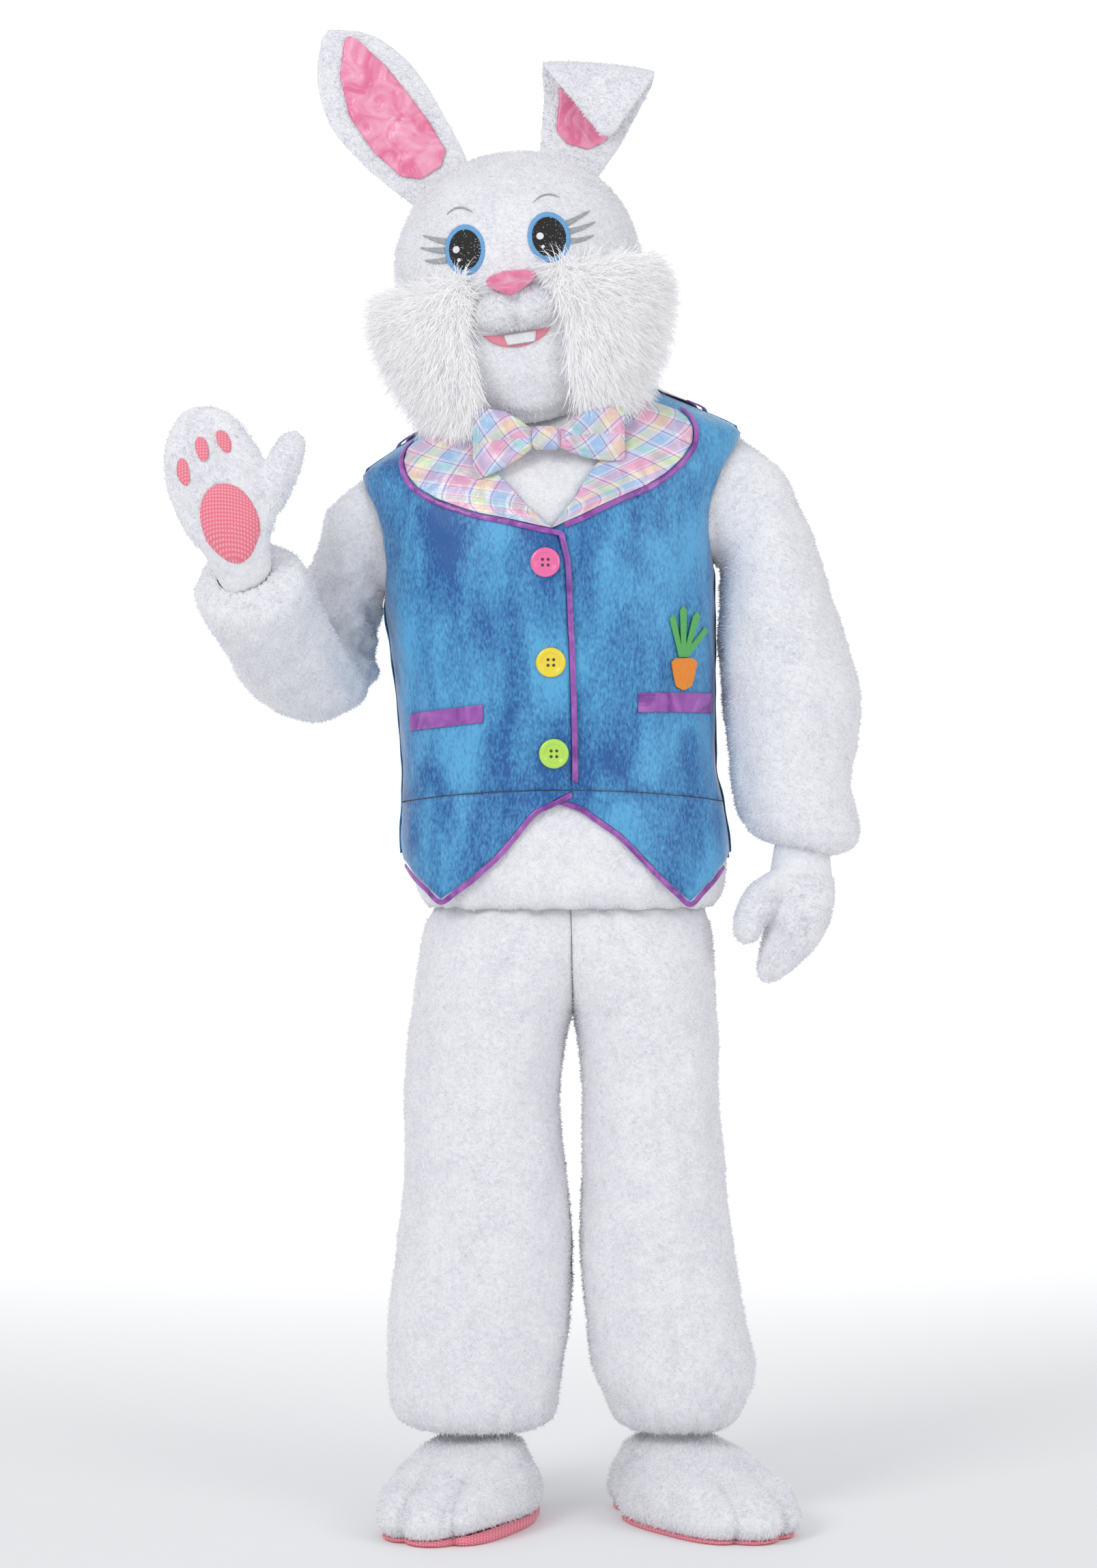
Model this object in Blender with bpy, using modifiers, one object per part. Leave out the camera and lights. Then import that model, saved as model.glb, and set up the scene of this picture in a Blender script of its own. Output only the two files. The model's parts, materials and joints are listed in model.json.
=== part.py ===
"""Bunny costume: a mask with two ears, a plush tunic under a vest with a bow, trousers, mitts and shoe covers.

Sizes in the tables are millimetres above the floor that the shoes stand on. X runs to the wearer's left,
the front faces -Y, and the finished costume's origin is at the middle of the shoulders, where it is held.
"""
from collections import namedtuple
from math import cos, pi, radians, sin

import bmesh
import bpy
import numpy as np

MM = 0.001
SHOULDER_HEIGHT = 1400.0
CLOTH = 2.0
VEST_INNER = 3.8
VEST_CLOTH = 1.5
OVERLAP = 3.4
BACK_EASE = 2.4
LAPEL_GAP = 1.3
LAPEL_CLOTH = 1.2
SEAM = 0.35
NARROW = 0.02

NECK_TOP = 1512.0
WAIST = 937.0
WAIST_RISE = 18.0
SHOULDER_TILT = 0.118

WHITE = (0.86, 0.86, 0.9)
BLUE = (0.08, 0.33, 0.68)
PURPLE = (0.5, 0.12, 0.55)
PLAID = (0.85, 0.78, 0.82)
PINK = (0.9, 0.3, 0.5)
SKY = (0.35, 0.65, 0.9)
BLACK = (0.02, 0.02, 0.02)
YELLOW = (0.85, 0.75, 0.05)
LIME = (0.45, 0.75, 0.1)
ORANGE = (0.95, 0.3, 0.03)
GREEN = (0.15, 0.65, 0.15)


def through(keys, values, at):
    """Smooth values on the curve through (keys, values) that never overshoots them."""
    keys, values, at = (np.asarray(item, float) for item in (keys, values, at))
    run = np.diff(keys)
    rise = np.diff(values) / run
    slope = np.zeros_like(values)
    slope[0], slope[-1] = rise[0], rise[-1]
    product = rise[:-1] * rise[1:]
    total = rise[:-1] + rise[1:]
    same = product > 0
    slope[1:-1] = np.where(same, 2 * product / np.where(same, total, 1), 0)
    spot = np.clip(np.searchsorted(keys, at) - 1, 0, len(run) - 1)
    part = np.clip((at - keys[spot]) / run[spot], 0, 1)
    start, end = values[spot], values[spot + 1]
    pull_start, pull_end = slope[spot] * run[spot], slope[spot + 1] * run[spot]
    return (
        start * (1 + 2 * part) * (1 - part) ** 2
        + pull_start * part * (1 - part) ** 2
        + end * part**2 * (3 - 2 * part)
        + pull_end * part**2 * (part - 1)
    )


def column(table, name):
    return [getattr(row, name) for row in table]


def ease(low, high, at):
    part = np.clip((np.asarray(at, float) - low) / (high - low), 0, 1)
    return part * part * (3 - 2 * part)


def power_of(value, exponent):
    return np.sign(value) * np.abs(value) ** exponent


def unit(vector):
    vector = np.asarray(vector, float)
    return vector / np.linalg.norm(vector, axis=-1, keepdims=True)


# Blender objects

collection = None
holder = None


def clear_scene():
    for item in list(bpy.data.objects):
        bpy.data.objects.remove(item)


def material(name, colour, roughness=0.8):
    found = bpy.data.materials.get(name)
    if found:
        return found
    made = bpy.data.materials.new(name)
    made.use_nodes = True
    shader = made.node_tree.nodes["Principled BSDF"]
    shader.inputs["Base Color"].default_value = (*colour, 1)
    shader.inputs["Roughness"].default_value = roughness
    return made


def add_object(name, data, colour):
    item = bpy.data.objects.new(name, data)
    data.materials.append(material(name, colour))
    collection.objects.link(item)
    item.parent = holder
    return item


def grid_mesh(name, grid, around=False, turned=False):
    """A mesh over a grid of points: rows, then columns, which meet again when around is set."""
    grid = np.asarray(grid, float) * MM
    rows, columns = grid.shape[:2]
    mesh = bpy.data.meshes.new(name)
    shape = bmesh.new()
    points = [[shape.verts.new(point) for point in row] for row in grid]
    for row in range(rows - 1):
        for spot in range(columns if around else columns - 1):
            after = (spot + 1) % columns
            corners = [points[row][spot], points[row][after], points[row + 1][after], points[row + 1][spot]]
            shape.faces.new(corners[::-1] if turned else corners)
    bmesh.ops.remove_doubles(shape, verts=shape.verts, dist=0.00002)
    bmesh.ops.dissolve_degenerate(shape, edges=shape.edges, dist=0.00001)
    shape.to_mesh(mesh)
    shape.free()
    mesh.shade_smooth()
    return mesh


def cloth(name, grid, colour, thickness=CLOTH, around=False, turned=False):
    """A wall of cloth whose outer face is the grid."""
    item = add_object(name, grid_mesh(name, grid, around, turned), colour)
    wall = item.modifiers.new("Wall", "SOLIDIFY")
    wall.thickness = thickness * MM
    wall.offset = -1
    return item


def padded(name, grid, colour):
    """A closed form: rings from a pole at one end to a pole at the other."""
    mesh = grid_mesh(name, grid, around=True)
    shape = bmesh.new()
    shape.from_mesh(mesh)
    bmesh.ops.recalc_face_normals(shape, faces=shape.faces)
    shape.to_mesh(mesh)
    shape.free()
    return add_object(name, mesh, colour)


def capped(rings):
    """Rings with a pole at the middle of the first and of the last."""
    rings = np.asarray(rings, float)
    first = np.repeat(rings[0].mean(0)[None], rings.shape[1], 0)
    last = np.repeat(rings[-1].mean(0)[None], rings.shape[1], 0)
    return np.concatenate([first[None], rings, last[None]])


# Body of the tunic and the vest

Ring = namedtuple("Ring", "level middle half_width back half_depth")
TORSO = [
    Ring(799, 28, 185, 0, 128),
    Ring(817, 28, 198, 0, 139),
    Ring(845, 26, 206, 0, 143),
    Ring(880, 22, 210, 0, 143),
    Ring(930, 19, 206, 0, 141),
    Ring(985, 14, 200, 0, 139),
    Ring(1055, 11, 202, 0, 142),
    Ring(1116, 8, 205, 0, 146),
    Ring(1185, 3, 209, 0, 149),
    Ring(1235, 0, 212, 0, 150),
    Ring(1290, -2, 219, 2, 149),
    Ring(1340, 0, 233, 5, 142),
    Ring(1375, 2, 243, 8, 131),
    Ring(1392, 4, 244, 9, 124),
    Ring(1410, 5, 219, 10, 116),
    Ring(1430, 5, 183, 10, 108),
    Ring(1455, 3, 140, 10, 98),
    Ring(1478, -2, 106, 10, 88),
    Ring(1492, -6, 93, 10, 83),
    Ring(1512, -10, 87, 10, 80),
]
HANG = [Ring(799, 25, 208, 0, 145), Ring(845, 25, 209, 0, 145), *TORSO[3:]]
SQUARENESS = 2.4

Fold = namedtuple("Fold", "turn low high width depth")
FOLDS = [
    Fold(-58, 960, 1150, 9, 3.0),
    Fold(-33, 1000, 1230, 8, 2.5),
    Fold(22, 950, 1120, 8, 2.5),
    Fold(48, 980, 1220, 9, 3.0),
    Fold(68, 950, 1130, 8, 3.0),
    Fold(-76, 1080, 1240, 9, 3.0),
    Fold(122, 960, 1180, 10, 3.0),
    Fold(160, 950, 1160, 11, 3.5),
    Fold(205, 960, 1200, 11, 3.5),
    Fold(240, 950, 1140, 10, 3.0),
]


def fold_depth(turn, level):
    depth = np.zeros(np.broadcast(turn, level).shape)
    for fold in FOLDS:
        across = (turn - fold.turn + 180) % 360 - 180
        middle, half = (fold.low + fold.high) / 2, (fold.high - fold.low) / 2
        along = np.clip(1 - ((level - middle) / half) ** 2, 0, 1)
        depth = depth + fold.depth * along * np.exp(-((across / fold.width) ** 2))
    return depth


def ring_value(table, name, level):
    return through(column(table, "level"), column(table, name), level)


def bare_torso(turn, level, table):
    angle = np.radians(turn)
    inset = fold_depth(turn, level)
    side = power_of(np.sin(angle), 2 / SQUARENESS) * (ring_value(table, "half_width", level) - inset)
    front = power_of(np.cos(angle), 2 / SQUARENESS) * (ring_value(table, "half_depth", level) - inset)
    tilt = SHOULDER_TILT * ease(950, 1300, level)
    x = ring_value(table, "middle", level) + side
    return np.stack([x, ring_value(table, "back", level) - front, level + tilt * side], -1)


def torso(turn, level, lift=0.0, table=TORSO):
    """Point at a turn in degrees from the front, towards the wearer's left, and at a level of the body."""
    turn, level, lift = np.broadcast_arrays(
        np.asarray(turn, float), np.asarray(level, float), np.asarray(lift, float)
    )
    nudge = 0.5
    across = bare_torso(turn + nudge, level, table) - bare_torso(turn - nudge, level, table)
    up = bare_torso(turn, level + nudge, table) - bare_torso(turn, level - nudge, table)
    return bare_torso(turn, level, table) + lift[..., None] * unit(np.cross(across, up))


def turn_at(level, x, table=TORSO):
    """Turn on the front where the body reaches x."""
    level = np.asarray(level, float)
    part = (np.asarray(x, float) - ring_value(table, "middle", level)) / ring_value(table, "half_width", level)
    return np.degrees(np.arcsin(np.clip(power_of(part, SQUARENESS / 2), -1, 1)))


Edge = namedtuple("Edge", "level turn")
ARMHOLE = [
    Edge(1235, 90),
    Edge(1252, 77),
    Edge(1280, 71.5),
    Edge(1313, 69.5),
    Edge(1345, 71),
    Edge(1370, 76),
    Edge(1392, 90),
]
VEST_ARMHOLE = [
    Edge(1214, 90),
    Edge(1235, 78),
    Edge(1252, 73),
    Edge(1280, 69),
    Edge(1313, 67.5),
    Edge(1345, 68.5),
    Edge(1370, 73.5),
    Edge(1392, 85),
    Edge(1397, 90),
]


def armhole_turn(table, level):
    inside = (level > table[0].level) & (level < table[-1].level)
    return np.where(inside, through(column(table, "level"), column(table, "turn"), level), 90.0)


def panel_shares(columns):
    """Even columns with a narrow one at each seam, so that the wall's edge stands square to the cloth."""
    return np.concatenate([[0], np.linspace(NARROW, 1 - NARROW, columns - 2), [1]])


def half_panel(levels, first_turn, last_turn, columns):
    """Turns of a panel's grid, with a row for each level."""
    share = panel_shares(columns)
    first_turn, last_turn = np.asarray(first_turn)[:, None], np.asarray(last_turn)[:, None]
    return first_turn * (1 - share) + last_turn * share, levels[:, None]


def gather(turn, level):
    """Short waves that an elastic draws into the plush above the hem."""
    return 2.2 * np.cos(np.radians(turn) * 16) * (1 - ease(805, 860, level))


TUNIC_LOW = [799, 808, 824, 850, 900, 1000, 1090, 1170, 1214]
TUNIC_HIGH = [1404, 1423, 1448, 1474, NECK_TOP]


def make_tunic():
    levels = np.array(TUNIC_LOW + column(ARMHOLE, "level") + TUNIC_HIGH, float)
    reach = armhole_turn(ARMHOLE, levels)
    for name, start, end, shift, columns in (
        ("tunic_front", -reach, reach, -SEAM, 13),
        ("tunic_back", 180 - reach, 180 + reach, SEAM, 11),
    ):
        turns, rows = half_panel(levels, start, end, columns)
        grid = torso(turns, rows, gather(turns, rows)) + [0, shift, 0]
        cloth(name, grid, WHITE)


# Sleeves

def armhole_loop(side):
    """The sleeve's first ring, just inside the armhole: from its top down the front and up the back."""
    levels = np.array(column(ARMHOLE, "level"), float)
    turns = np.array(column(ARMHOLE, "turn"), float) * side
    front = torso(turns, levels) + [0, -SEAM, 0]
    back = torso(np.sign(side) * 180 - turns, levels) + [0, SEAM, 0]
    top = (front[-1] + back[-1]) / 2
    bottom = (front[0] + back[0]) / 2
    loop = np.concatenate([top[None], front[-2:0:-1], bottom[None], back[1:-1]])
    middle = loop.mean(0)
    outward = unit(loop - middle)
    return loop - outward * 0.7


Section = namedtuple("Section", "outer_x outer_z inner_x inner_z y half_depth")
LEFT_SLEEVE = [
    Section(262, 1411, 217, 1254, 6, 66),
    Section(310, 1368, 227, 1243, 3, 70),
    Section(333, 1320, 228, 1225, 0, 74),
    Section(352, 1268, 227, 1196, -3, 76),
    Section(373, 1208, 224, 1152, -6, 78),
    Section(405, 1100, 229, 1066, -12, 82),
    Section(410, 1058, 233, 1030, -14, 80),
    Section(403, 1008, 238, 992, -17, 76),
    Section(398, 958, 243, 950, -20, 73),
    Section(405, 918, 250, 922, -24, 70),
    Section(408, 893, 262, 903, -27, 66),
    Section(396, 874, 280, 889, -29, 55),
    Section(370, 868, 295, 882, -30, 39),
]
RIGHT_SLEEVE = [
    Section(-254, 1355, -217, 1212, 6, 66),
    Section(-290, 1318, -225, 1203, 8, 66),
    Section(-301, 1285, -226, 1193, 12, 66),
    Section(-310, 1250, -226, 1180, 18, 64),
    Section(-322, 1214, -226, 1167, 25, 60),
]
SLEEVE_RING = 12


def section_ring(section):
    angle = np.arange(SLEEVE_RING) * 2 * pi / SLEEVE_RING
    outer = np.array([section.outer_x, section.y, section.outer_z], float)
    inner = np.array([section.inner_x, section.y, section.inner_z], float)
    middle, half = (outer + inner) / 2, (outer - inner) / 2
    front = np.array([0, -section.half_depth, 0], float)
    return middle + np.cos(angle)[:, None] * half + np.sin(angle)[:, None] * front


ELBOW = np.array([-277.0, 32.0, 1163.0])
ELBOW_RADIUS = 60.0
UPPER_ARM = unit([-0.12, 0.2, -0.97])
FOREARM = unit([-0.27, -0.74, 0.62])
FOREARM_LENGTH = 192.0


def elbow_path():
    """Middle points and inward sides of the bent sleeve: an arc, then a straight forearm."""
    bend = np.arccos(UPPER_ARM @ FOREARM)
    inside = unit(FOREARM - (UPPER_ARM @ FOREARM) * UPPER_ARM)
    points, fronts = [], []
    for angle in np.linspace(0, bend, 7):
        points.append(ELBOW + ELBOW_RADIUS * (sin(angle) * UPPER_ARM + (1 - cos(angle)) * inside))
        fronts.append(cos(angle) * inside - sin(angle) * UPPER_ARM)
    corner = points[-1]
    for share in (0.2, 0.4, 0.6, 0.78, 0.9, 0.97, 1.0):
        points.append(corner + FOREARM * FOREARM_LENGTH * share)
        fronts.append(fronts[6])
    return points, fronts


FOREARM_HALF_ACROSS = [52, 58, 66, 72, 76, 79, 80, 79, 76, 75, 77, 73, 58, 37]
FOREARM_HALF_DEEP = [52, 52, 52, 52, 52, 52, 52, 57, 62, 66, 68, 65, 52, 35]


def forearm_rings():
    points, fronts = elbow_path()
    across = unit(np.cross(UPPER_ARM, FOREARM))
    across = -across if across[0] > 0 else across
    angle = np.arange(SLEEVE_RING)[:, None] * 2 * pi / SLEEVE_RING
    return [
        point + np.cos(angle) * across * wide + np.sin(angle) * front * deep
        for point, front, wide, deep in zip(points, fronts, FOREARM_HALF_ACROSS, FOREARM_HALF_DEEP)
    ]


def make_sleeves():
    left = [armhole_loop(1)] + [section_ring(section) for section in LEFT_SLEEVE]
    cloth("sleeve_left", left, WHITE, around=True)
    right = [armhole_loop(-1)] + [section_ring(section) for section in RIGHT_SLEEVE] + forearm_rings()
    cloth("sleeve_right", right, WHITE, around=True, turned=True)


# Trousers

Leg = namedtuple("Leg", "level outer inner half_depth seam")
RIGHT_LEG = [
    Leg(112, -147.5, -36.5, 53, 0),
    Leg(116, -176, -14, 74, 0),
    Leg(128, -197, 3, 92, 0),
    Leg(150, -207, 11, 101, 0),
    Leg(195, -211, 17, 105, 0),
    Leg(250, -211, 27, 107, 0),
    Leg(350, -198, 33, 105, 0),
    Leg(450, -190, 22, 103, 0),
    Leg(540, -189, 14, 104, 0),
    Leg(620, -183, 22, 110, 0),
    Leg(658, -179, 31.8, 114, 0),
    Leg(680, -177, 44, 116, 32),
    Leg(712, -173, 66, 118, 31),
    Leg(760, -165, 100, 119, 30),
    Leg(784, -158, 118, 118, 29),
    Leg(800, -149, 133, 115, 28),
    Leg(870, -159, 180, 118, 24),
    Leg(960, -170, 198, 124, 18),
]
LEFT_LEG = [
    Leg(112, 224, 113, 55, 0),
    Leg(120, 240, 96, 74, 0),
    Leg(134, 250, 84, 90, 0),
    Leg(160, 262, 72, 100, 0),
    Leg(195, 270, 58, 105, 0),
    Leg(250, 261, 51, 107, 0),
    Leg(350, 242, 42, 105, 0),
    Leg(450, 232, 45, 103, 0),
    Leg(540, 225, 45, 104, 0),
    Leg(620, 222, 40, 110, 0),
    Leg(658, 220, 32.2, 114, 0),
    Leg(680, 219, 20, 116, 32),
    Leg(712, 218, -4, 118, 31),
    Leg(760, 215, -40, 119, 30),
    Leg(784, 210, -58, 118, 29),
    Leg(800, 205, -77, 115, 28),
    Leg(870, 208, -132, 118, 24),
    Leg(960, 208, -160, 124, 18),
]
LEG_FOLDS = [
    Fold(60, 160, 420, 14, 5),
    Fold(115, 200, 620, 12, 5),
    Fold(235, 150, 400, 14, 5),
    Fold(292, 240, 600, 13, 4),
]
LEG_COLUMNS = 15
LEG_SQUARENESS = 2.2


def leg_grid(table, side):
    """Rings from the ankle up, open at the centre seam above the crotch."""
    rows = []
    share = panel_shares(LEG_COLUMNS)
    for leg in table:
        middle = (leg.outer + leg.inner) / 2
        half = abs(leg.outer - leg.inner) / 2
        start = 0.0
        if leg.seam:
            seam_x = leg.seam + side * SEAM
            part = min(max((seam_x - middle) / (-side * half), 0), 1)
            start = np.degrees(np.arccos(part ** (LEG_SQUARENESS / 2)))
        turn = start + (360 - 2 * start) * share
        angle = np.radians(turn)
        inset = np.zeros_like(turn)
        for fold in LEG_FOLDS:
            along = max(0, 1 - ((leg.level - (fold.low + fold.high) / 2) / ((fold.high - fold.low) / 2)) ** 2)
            inset += fold.depth * along * np.exp(-(((turn - fold.turn) / fold.width) ** 2))
        if leg.level < 135:
            inset = inset + 3 * np.cos(angle * 10) * (leg.level > 113)
        x = middle - side * power_of(np.cos(angle), 2 / LEG_SQUARENESS) * (half - inset)
        y = -power_of(np.sin(angle), 2 / LEG_SQUARENESS) * (leg.half_depth - inset)
        rows.append(np.stack([x, y, np.full_like(x, leg.level)], -1))
    return rows


def make_trousers():
    cloth("trouser_leg_right", leg_grid(RIGHT_LEG, -1), WHITE, turned=True)
    cloth("trouser_leg_left", leg_grid(LEFT_LEG, 1), WHITE)


# Shoe covers

Shoe = namedtuple("Shoe", "side ankle_x ankle_y heading lift")
SHOES = [Shoe("right", -94, 0, -15, 13), Shoe("left", 167, 0, 26, 0)]
Girth = namedtuple("Girth", "height forward rearward half_width toes")
UPPER = [
    Girth(0, 236, 78, 84, 1.0),
    Girth(20, 252, 91, 93, 1.0),
    Girth(50, 228, 89, 90, 0.8),
    Girth(68, 180, 85, 83, 0.3),
    Girth(84, 128, 78, 73, 0),
    Girth(94, 76, 62, 56, 0),
    Girth(104, 45, 45, 42, 0),
    Girth(150, 42, 42, 40, 0),
]
SOLE_HEIGHT = 5.0
SHOE_COLUMNS = 20


def shoe_plan(shoe, forward, rearward, half_width, toes):
    """Outline seen from above, with three toes at the front and a narrower waist."""
    angle = np.arange(SHOE_COLUMNS) * 2 * pi / SHOE_COLUMNS
    ahead = np.cos(angle)
    reach = np.where(ahead > 0, forward, rearward)
    along = power_of(ahead, 0.8) * reach
    width = half_width * (1 - 0.16 * np.exp(-(((along + 10) / 60) ** 2)) * (forward > 120))
    across = power_of(np.sin(angle), 0.8) * width * np.where(ahead > 0, 1 + 0.1 * toes, 0.84)
    lobes = toes * 11 * ease(0.55, 0.85, ahead) * np.abs(np.cos(1.5 * across / (0.36 * half_width)))
    along = along - toes * 10 + lobes
    heading = radians(shoe.heading)
    x = shoe.ankle_x + across * cos(heading) + along * sin(heading)
    y = shoe.ankle_y + across * sin(heading) - along * cos(heading)
    return x, y, angle


def sole_top(shoe, angle):
    """The sole's upper face turns up at the inner front of the right shoe."""
    inner = 0.9 if shoe.side == "right" else -0.9
    return SOLE_HEIGHT + shoe.lift * np.exp(-(((angle - inner + pi) % (2 * pi) - pi) / 0.7) ** 2)


def shoe_ring(shoe, girth):
    x, y, angle = shoe_plan(shoe, girth.forward, girth.rearward, girth.half_width, girth.toes)
    low = sole_top(shoe, angle) + 0.4
    height = low + girth.height * (1 - low / 160)
    return np.stack([x, y, height], -1)


def make_shoes():
    for shoe in SHOES:
        rings = [shoe_ring(shoe, girth) for girth in UPPER]
        cloth(f"shoe_upper_{shoe.side}", rings, WHITE, thickness=3, around=True)
        x, y, angle = shoe_plan(shoe, 244, 83, 88, 1.0)
        rim = np.stack([x, y, np.zeros_like(x)], -1)
        middle = rim.mean(0)
        top = np.stack([x, y, sole_top(shoe, angle)], -1)
        inner_top = middle + (top - middle) * [0.75, 0.75, 1]
        inner_top[:, 2] = SOLE_HEIGHT
        sole = capped([middle + (rim - middle) * 0.97, rim + [0, 0, 2], top, inner_top])
        padded(f"shoe_sole_{shoe.side}", sole, PINK)


# Mask

HEAD = np.array([-39.0, -5.0, 1630.0])
HEAD_ROLL = radians(8)
HEAD_YAW = radians(5)
Skull = namedtuple("Skull", "height half_width front rear dip")
MASK = [
    Skull(-205, 118, 128, 100, 55),
    Skull(-165, 121, 124, 104, 55),
    Skull(-125, 124, 124, 112, 55),
    Skull(-105, 139, 143, 127, 42),
    Skull(-75, 155, 157, 143, 24),
    Skull(-40, 162, 163, 153, 8),
    Skull(0, 163, 162, 158, 0),
    Skull(45, 157, 155, 152, 0),
    Skull(85, 140, 138, 136, 0),
    Skull(118, 113, 111, 110, 0),
    Skull(142, 78, 77, 77, 0),
    Skull(156, 38, 38, 38, 0),
    Skull(160, 0, 0, 0, 0),
]
MASK_WALL = 3.0


def local_mask(turn, height):
    angle = np.radians(turn)
    height = np.asarray(height, float)
    value = {name: through(column(MASK, "height"), column(MASK, name), height) for name in Skull._fields[1:]}
    depth = np.where(np.cos(angle) > 0, value["front"], value["rear"])
    dip = value["dip"] * np.clip(0.5 + 0.5 * np.cos(angle), 0, 1) ** 2
    return np.stack(
        [np.sin(angle) * value["half_width"], -np.cos(angle) * depth, height - dip + 0 * angle], -1
    )


def in_room(points):
    """Turns and places a point of the head's own frame."""
    x, y, z = np.moveaxis(np.asarray(points, float), -1, 0)
    turned_x = x * cos(HEAD_YAW) + y * sin(HEAD_YAW)
    turned_y = -x * sin(HEAD_YAW) + y * cos(HEAD_YAW)
    rolled_x = turned_x * cos(HEAD_ROLL) - z * sin(HEAD_ROLL)
    rolled_z = turned_x * sin(HEAD_ROLL) + z * cos(HEAD_ROLL)
    return np.stack([rolled_x, turned_y, rolled_z], -1) + HEAD


def local_face(turn, height, lift):
    turn, height, lift = np.broadcast_arrays(
        np.asarray(turn, float), np.asarray(height, float), np.asarray(lift, float)
    )
    nudge = 0.5
    across = local_mask(turn + nudge, height) - local_mask(turn - nudge, height)
    up = local_mask(turn, height + nudge) - local_mask(turn, height - nudge)
    return local_mask(turn, height) + lift[..., None] * unit(np.cross(across, up))


def face(x, z, lift):
    """Point on the front of the mask, at x and z of the head's own frame, lifted off it."""
    x, z, lift = np.broadcast_arrays(np.asarray(x, float), np.asarray(z, float), np.asarray(lift, float))
    turn, height = np.degrees(np.arcsin(np.clip(x / 175, -0.95, 0.95))), z.copy()
    for _ in range(25):
        found = local_mask(turn, height)
        turn = np.clip(turn + np.degrees((x - found[..., 0]) / 165), -85, 85)
        height = np.clip(height + z - found[..., 2], -204, 159)
    return in_room(local_face(turn, height, lift))


def make_mask():
    heights = np.array([-125, -100, -70, -35, 5, 45, 80, 110, 134, 152, 160], float)
    halves = (("mask_face", -90, 90, -SEAM, 15), ("mask_back", 90, 270, SEAM, 13))
    for name, start, end, shift, columns in halves:
        turns, rows = np.meshgrid(start + (end - start) * panel_shares(columns), heights)
        grid = local_mask(turns, rows)
        grid[..., 1] += shift
        cloth(name, in_room(grid), WHITE, thickness=MASK_WALL)


Level = namedtuple("Level", "left_x left_z right_x right_z y half_depth")
RIGHT_EAR = [
    Level(-178, 1722, -108, 1772, -4, 8),
    Level(-190, 1731, -109, 1784, -3, 7.5),
    Level(-212, 1748, -117, 1803, -1, 7),
    Level(-250, 1782, -137, 1840, 2, 7),
    Level(-288, 1829, -160, 1880, 5, 7),
    Level(-305, 1888, -186, 1914, 8, 7),
    Level(-300, 1940, -220, 1942, 11, 6.5),
    Level(-291, 1956, -247, 1953, 12, 5),
]
LEFT_EAR = [
    Level(-12, 1790, 71, 1766, -4, 8),
    Level(-10, 1805, 79, 1779, -3, 7.5),
    Level(-9, 1824, 93, 1799, -2, 7),
    Level(-6, 1862, 118, 1845, 0, 6.5),
    Level(-8, 1890, 135, 1878, -1, 6),
    Level(-8, 1903, 139, 1891, -7, 6),
    Level(-7, 1907, 139, 1895, -15, 6),
    Level(-5, 1902, 138, 1890, -23, 6),
    Level(8, 1884, 130, 1876, -29, 6),
    Level(32, 1855, 113, 1851, -34, 6),
    Level(53, 1828, 95, 1825, -39, 5.5),
    Level(69, 1808, 82, 1807, -42, 4),
]
EAR_RING = 10


def ear_parts(table):
    """Middle, half width and front direction at each level of an ear."""
    left = np.array([[level.left_x, level.y, level.left_z] for level in table], float)
    right = np.array([[level.right_x, level.y, level.right_z] for level in table], float)
    middle, half = (left + right) / 2, (right - left) / 2
    forward = np.gradient(middle, axis=0)
    front = unit(np.cross(half, forward))
    return middle, half, front * np.array([level.half_depth for level in table])[:, None]


def seat_on_head(points, lift):
    """Moves points along their line to the head's middle until they lie on its surface."""
    away = points - HEAD
    x = away[:, 0] * cos(HEAD_ROLL) + away[:, 2] * sin(HEAD_ROLL)
    z = -away[:, 0] * sin(HEAD_ROLL) + away[:, 2] * cos(HEAD_ROLL)
    flat = np.hypot(x, away[:, 1])
    low, high = np.full(len(points), 0.5), np.full(len(points), 1.5)
    for _ in range(30):
        share = (low + high) / 2
        outside = (z * share > 159.9) | (
            flat * share > through(column(MASK, "height"), column(MASK, "half_width"), z * share)
        )
        low, high = np.where(outside, low, share), np.where(outside, share, high)
    return HEAD + away * (low + lift / np.linalg.norm(away, axis=1))[:, None]


def ear_point(middle, half, front, across, lift=0.0):
    """Point on an ear's front face, across from -1 at the left edge to 1 at the right."""
    bulge = np.sqrt(np.clip(1 - across**2, 0, 1))
    return middle + half * across + front * bulge + unit(front) * lift


def make_ear(name, table, satin_rows, satin_half):
    middle, half, front = ear_parts(table)
    angle = np.arange(EAR_RING)[:, None] * 2 * pi / EAR_RING
    rings = [m - np.cos(angle) * h + np.sin(angle) * f for m, h, f in zip(middle, half, front)]
    rings[0] = seat_on_head(rings[0], 1.3)
    root = seat_on_head(rings[0].mean(0) + (rings[0] - rings[0].mean(0)) * 0.5, 1.3)
    padded(f"ear_{name}", capped([root, *rings]), WHITE)
    across = np.linspace(-1, 1, 5)
    grid = []
    for row, wide in zip(satin_rows, satin_half):
        step = int(row)
        part = row - step
        after = min(step + 1, len(table) - 1)
        m, h, f = (values[step] * (1 - part) + values[after] * part for values in (middle, half, front))
        grid.append([ear_point(m, h, f, spot * wide, 2.0) for spot in across])
    cloth(f"ear_satin_{name}", grid, PINK, thickness=1.0)


def make_ears():
    make_ear("right", RIGHT_EAR, [1.3, 2, 3, 4, 5, 5.8, 6.3], [0.3, 0.62, 0.66, 0.6, 0.5, 0.3, 0.05])
    make_ear("left", LEFT_EAR, [1.3, 2, 2.5, 3, 3.6], [0.3, 0.62, 0.66, 0.68, 0.7])


# Face

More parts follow.
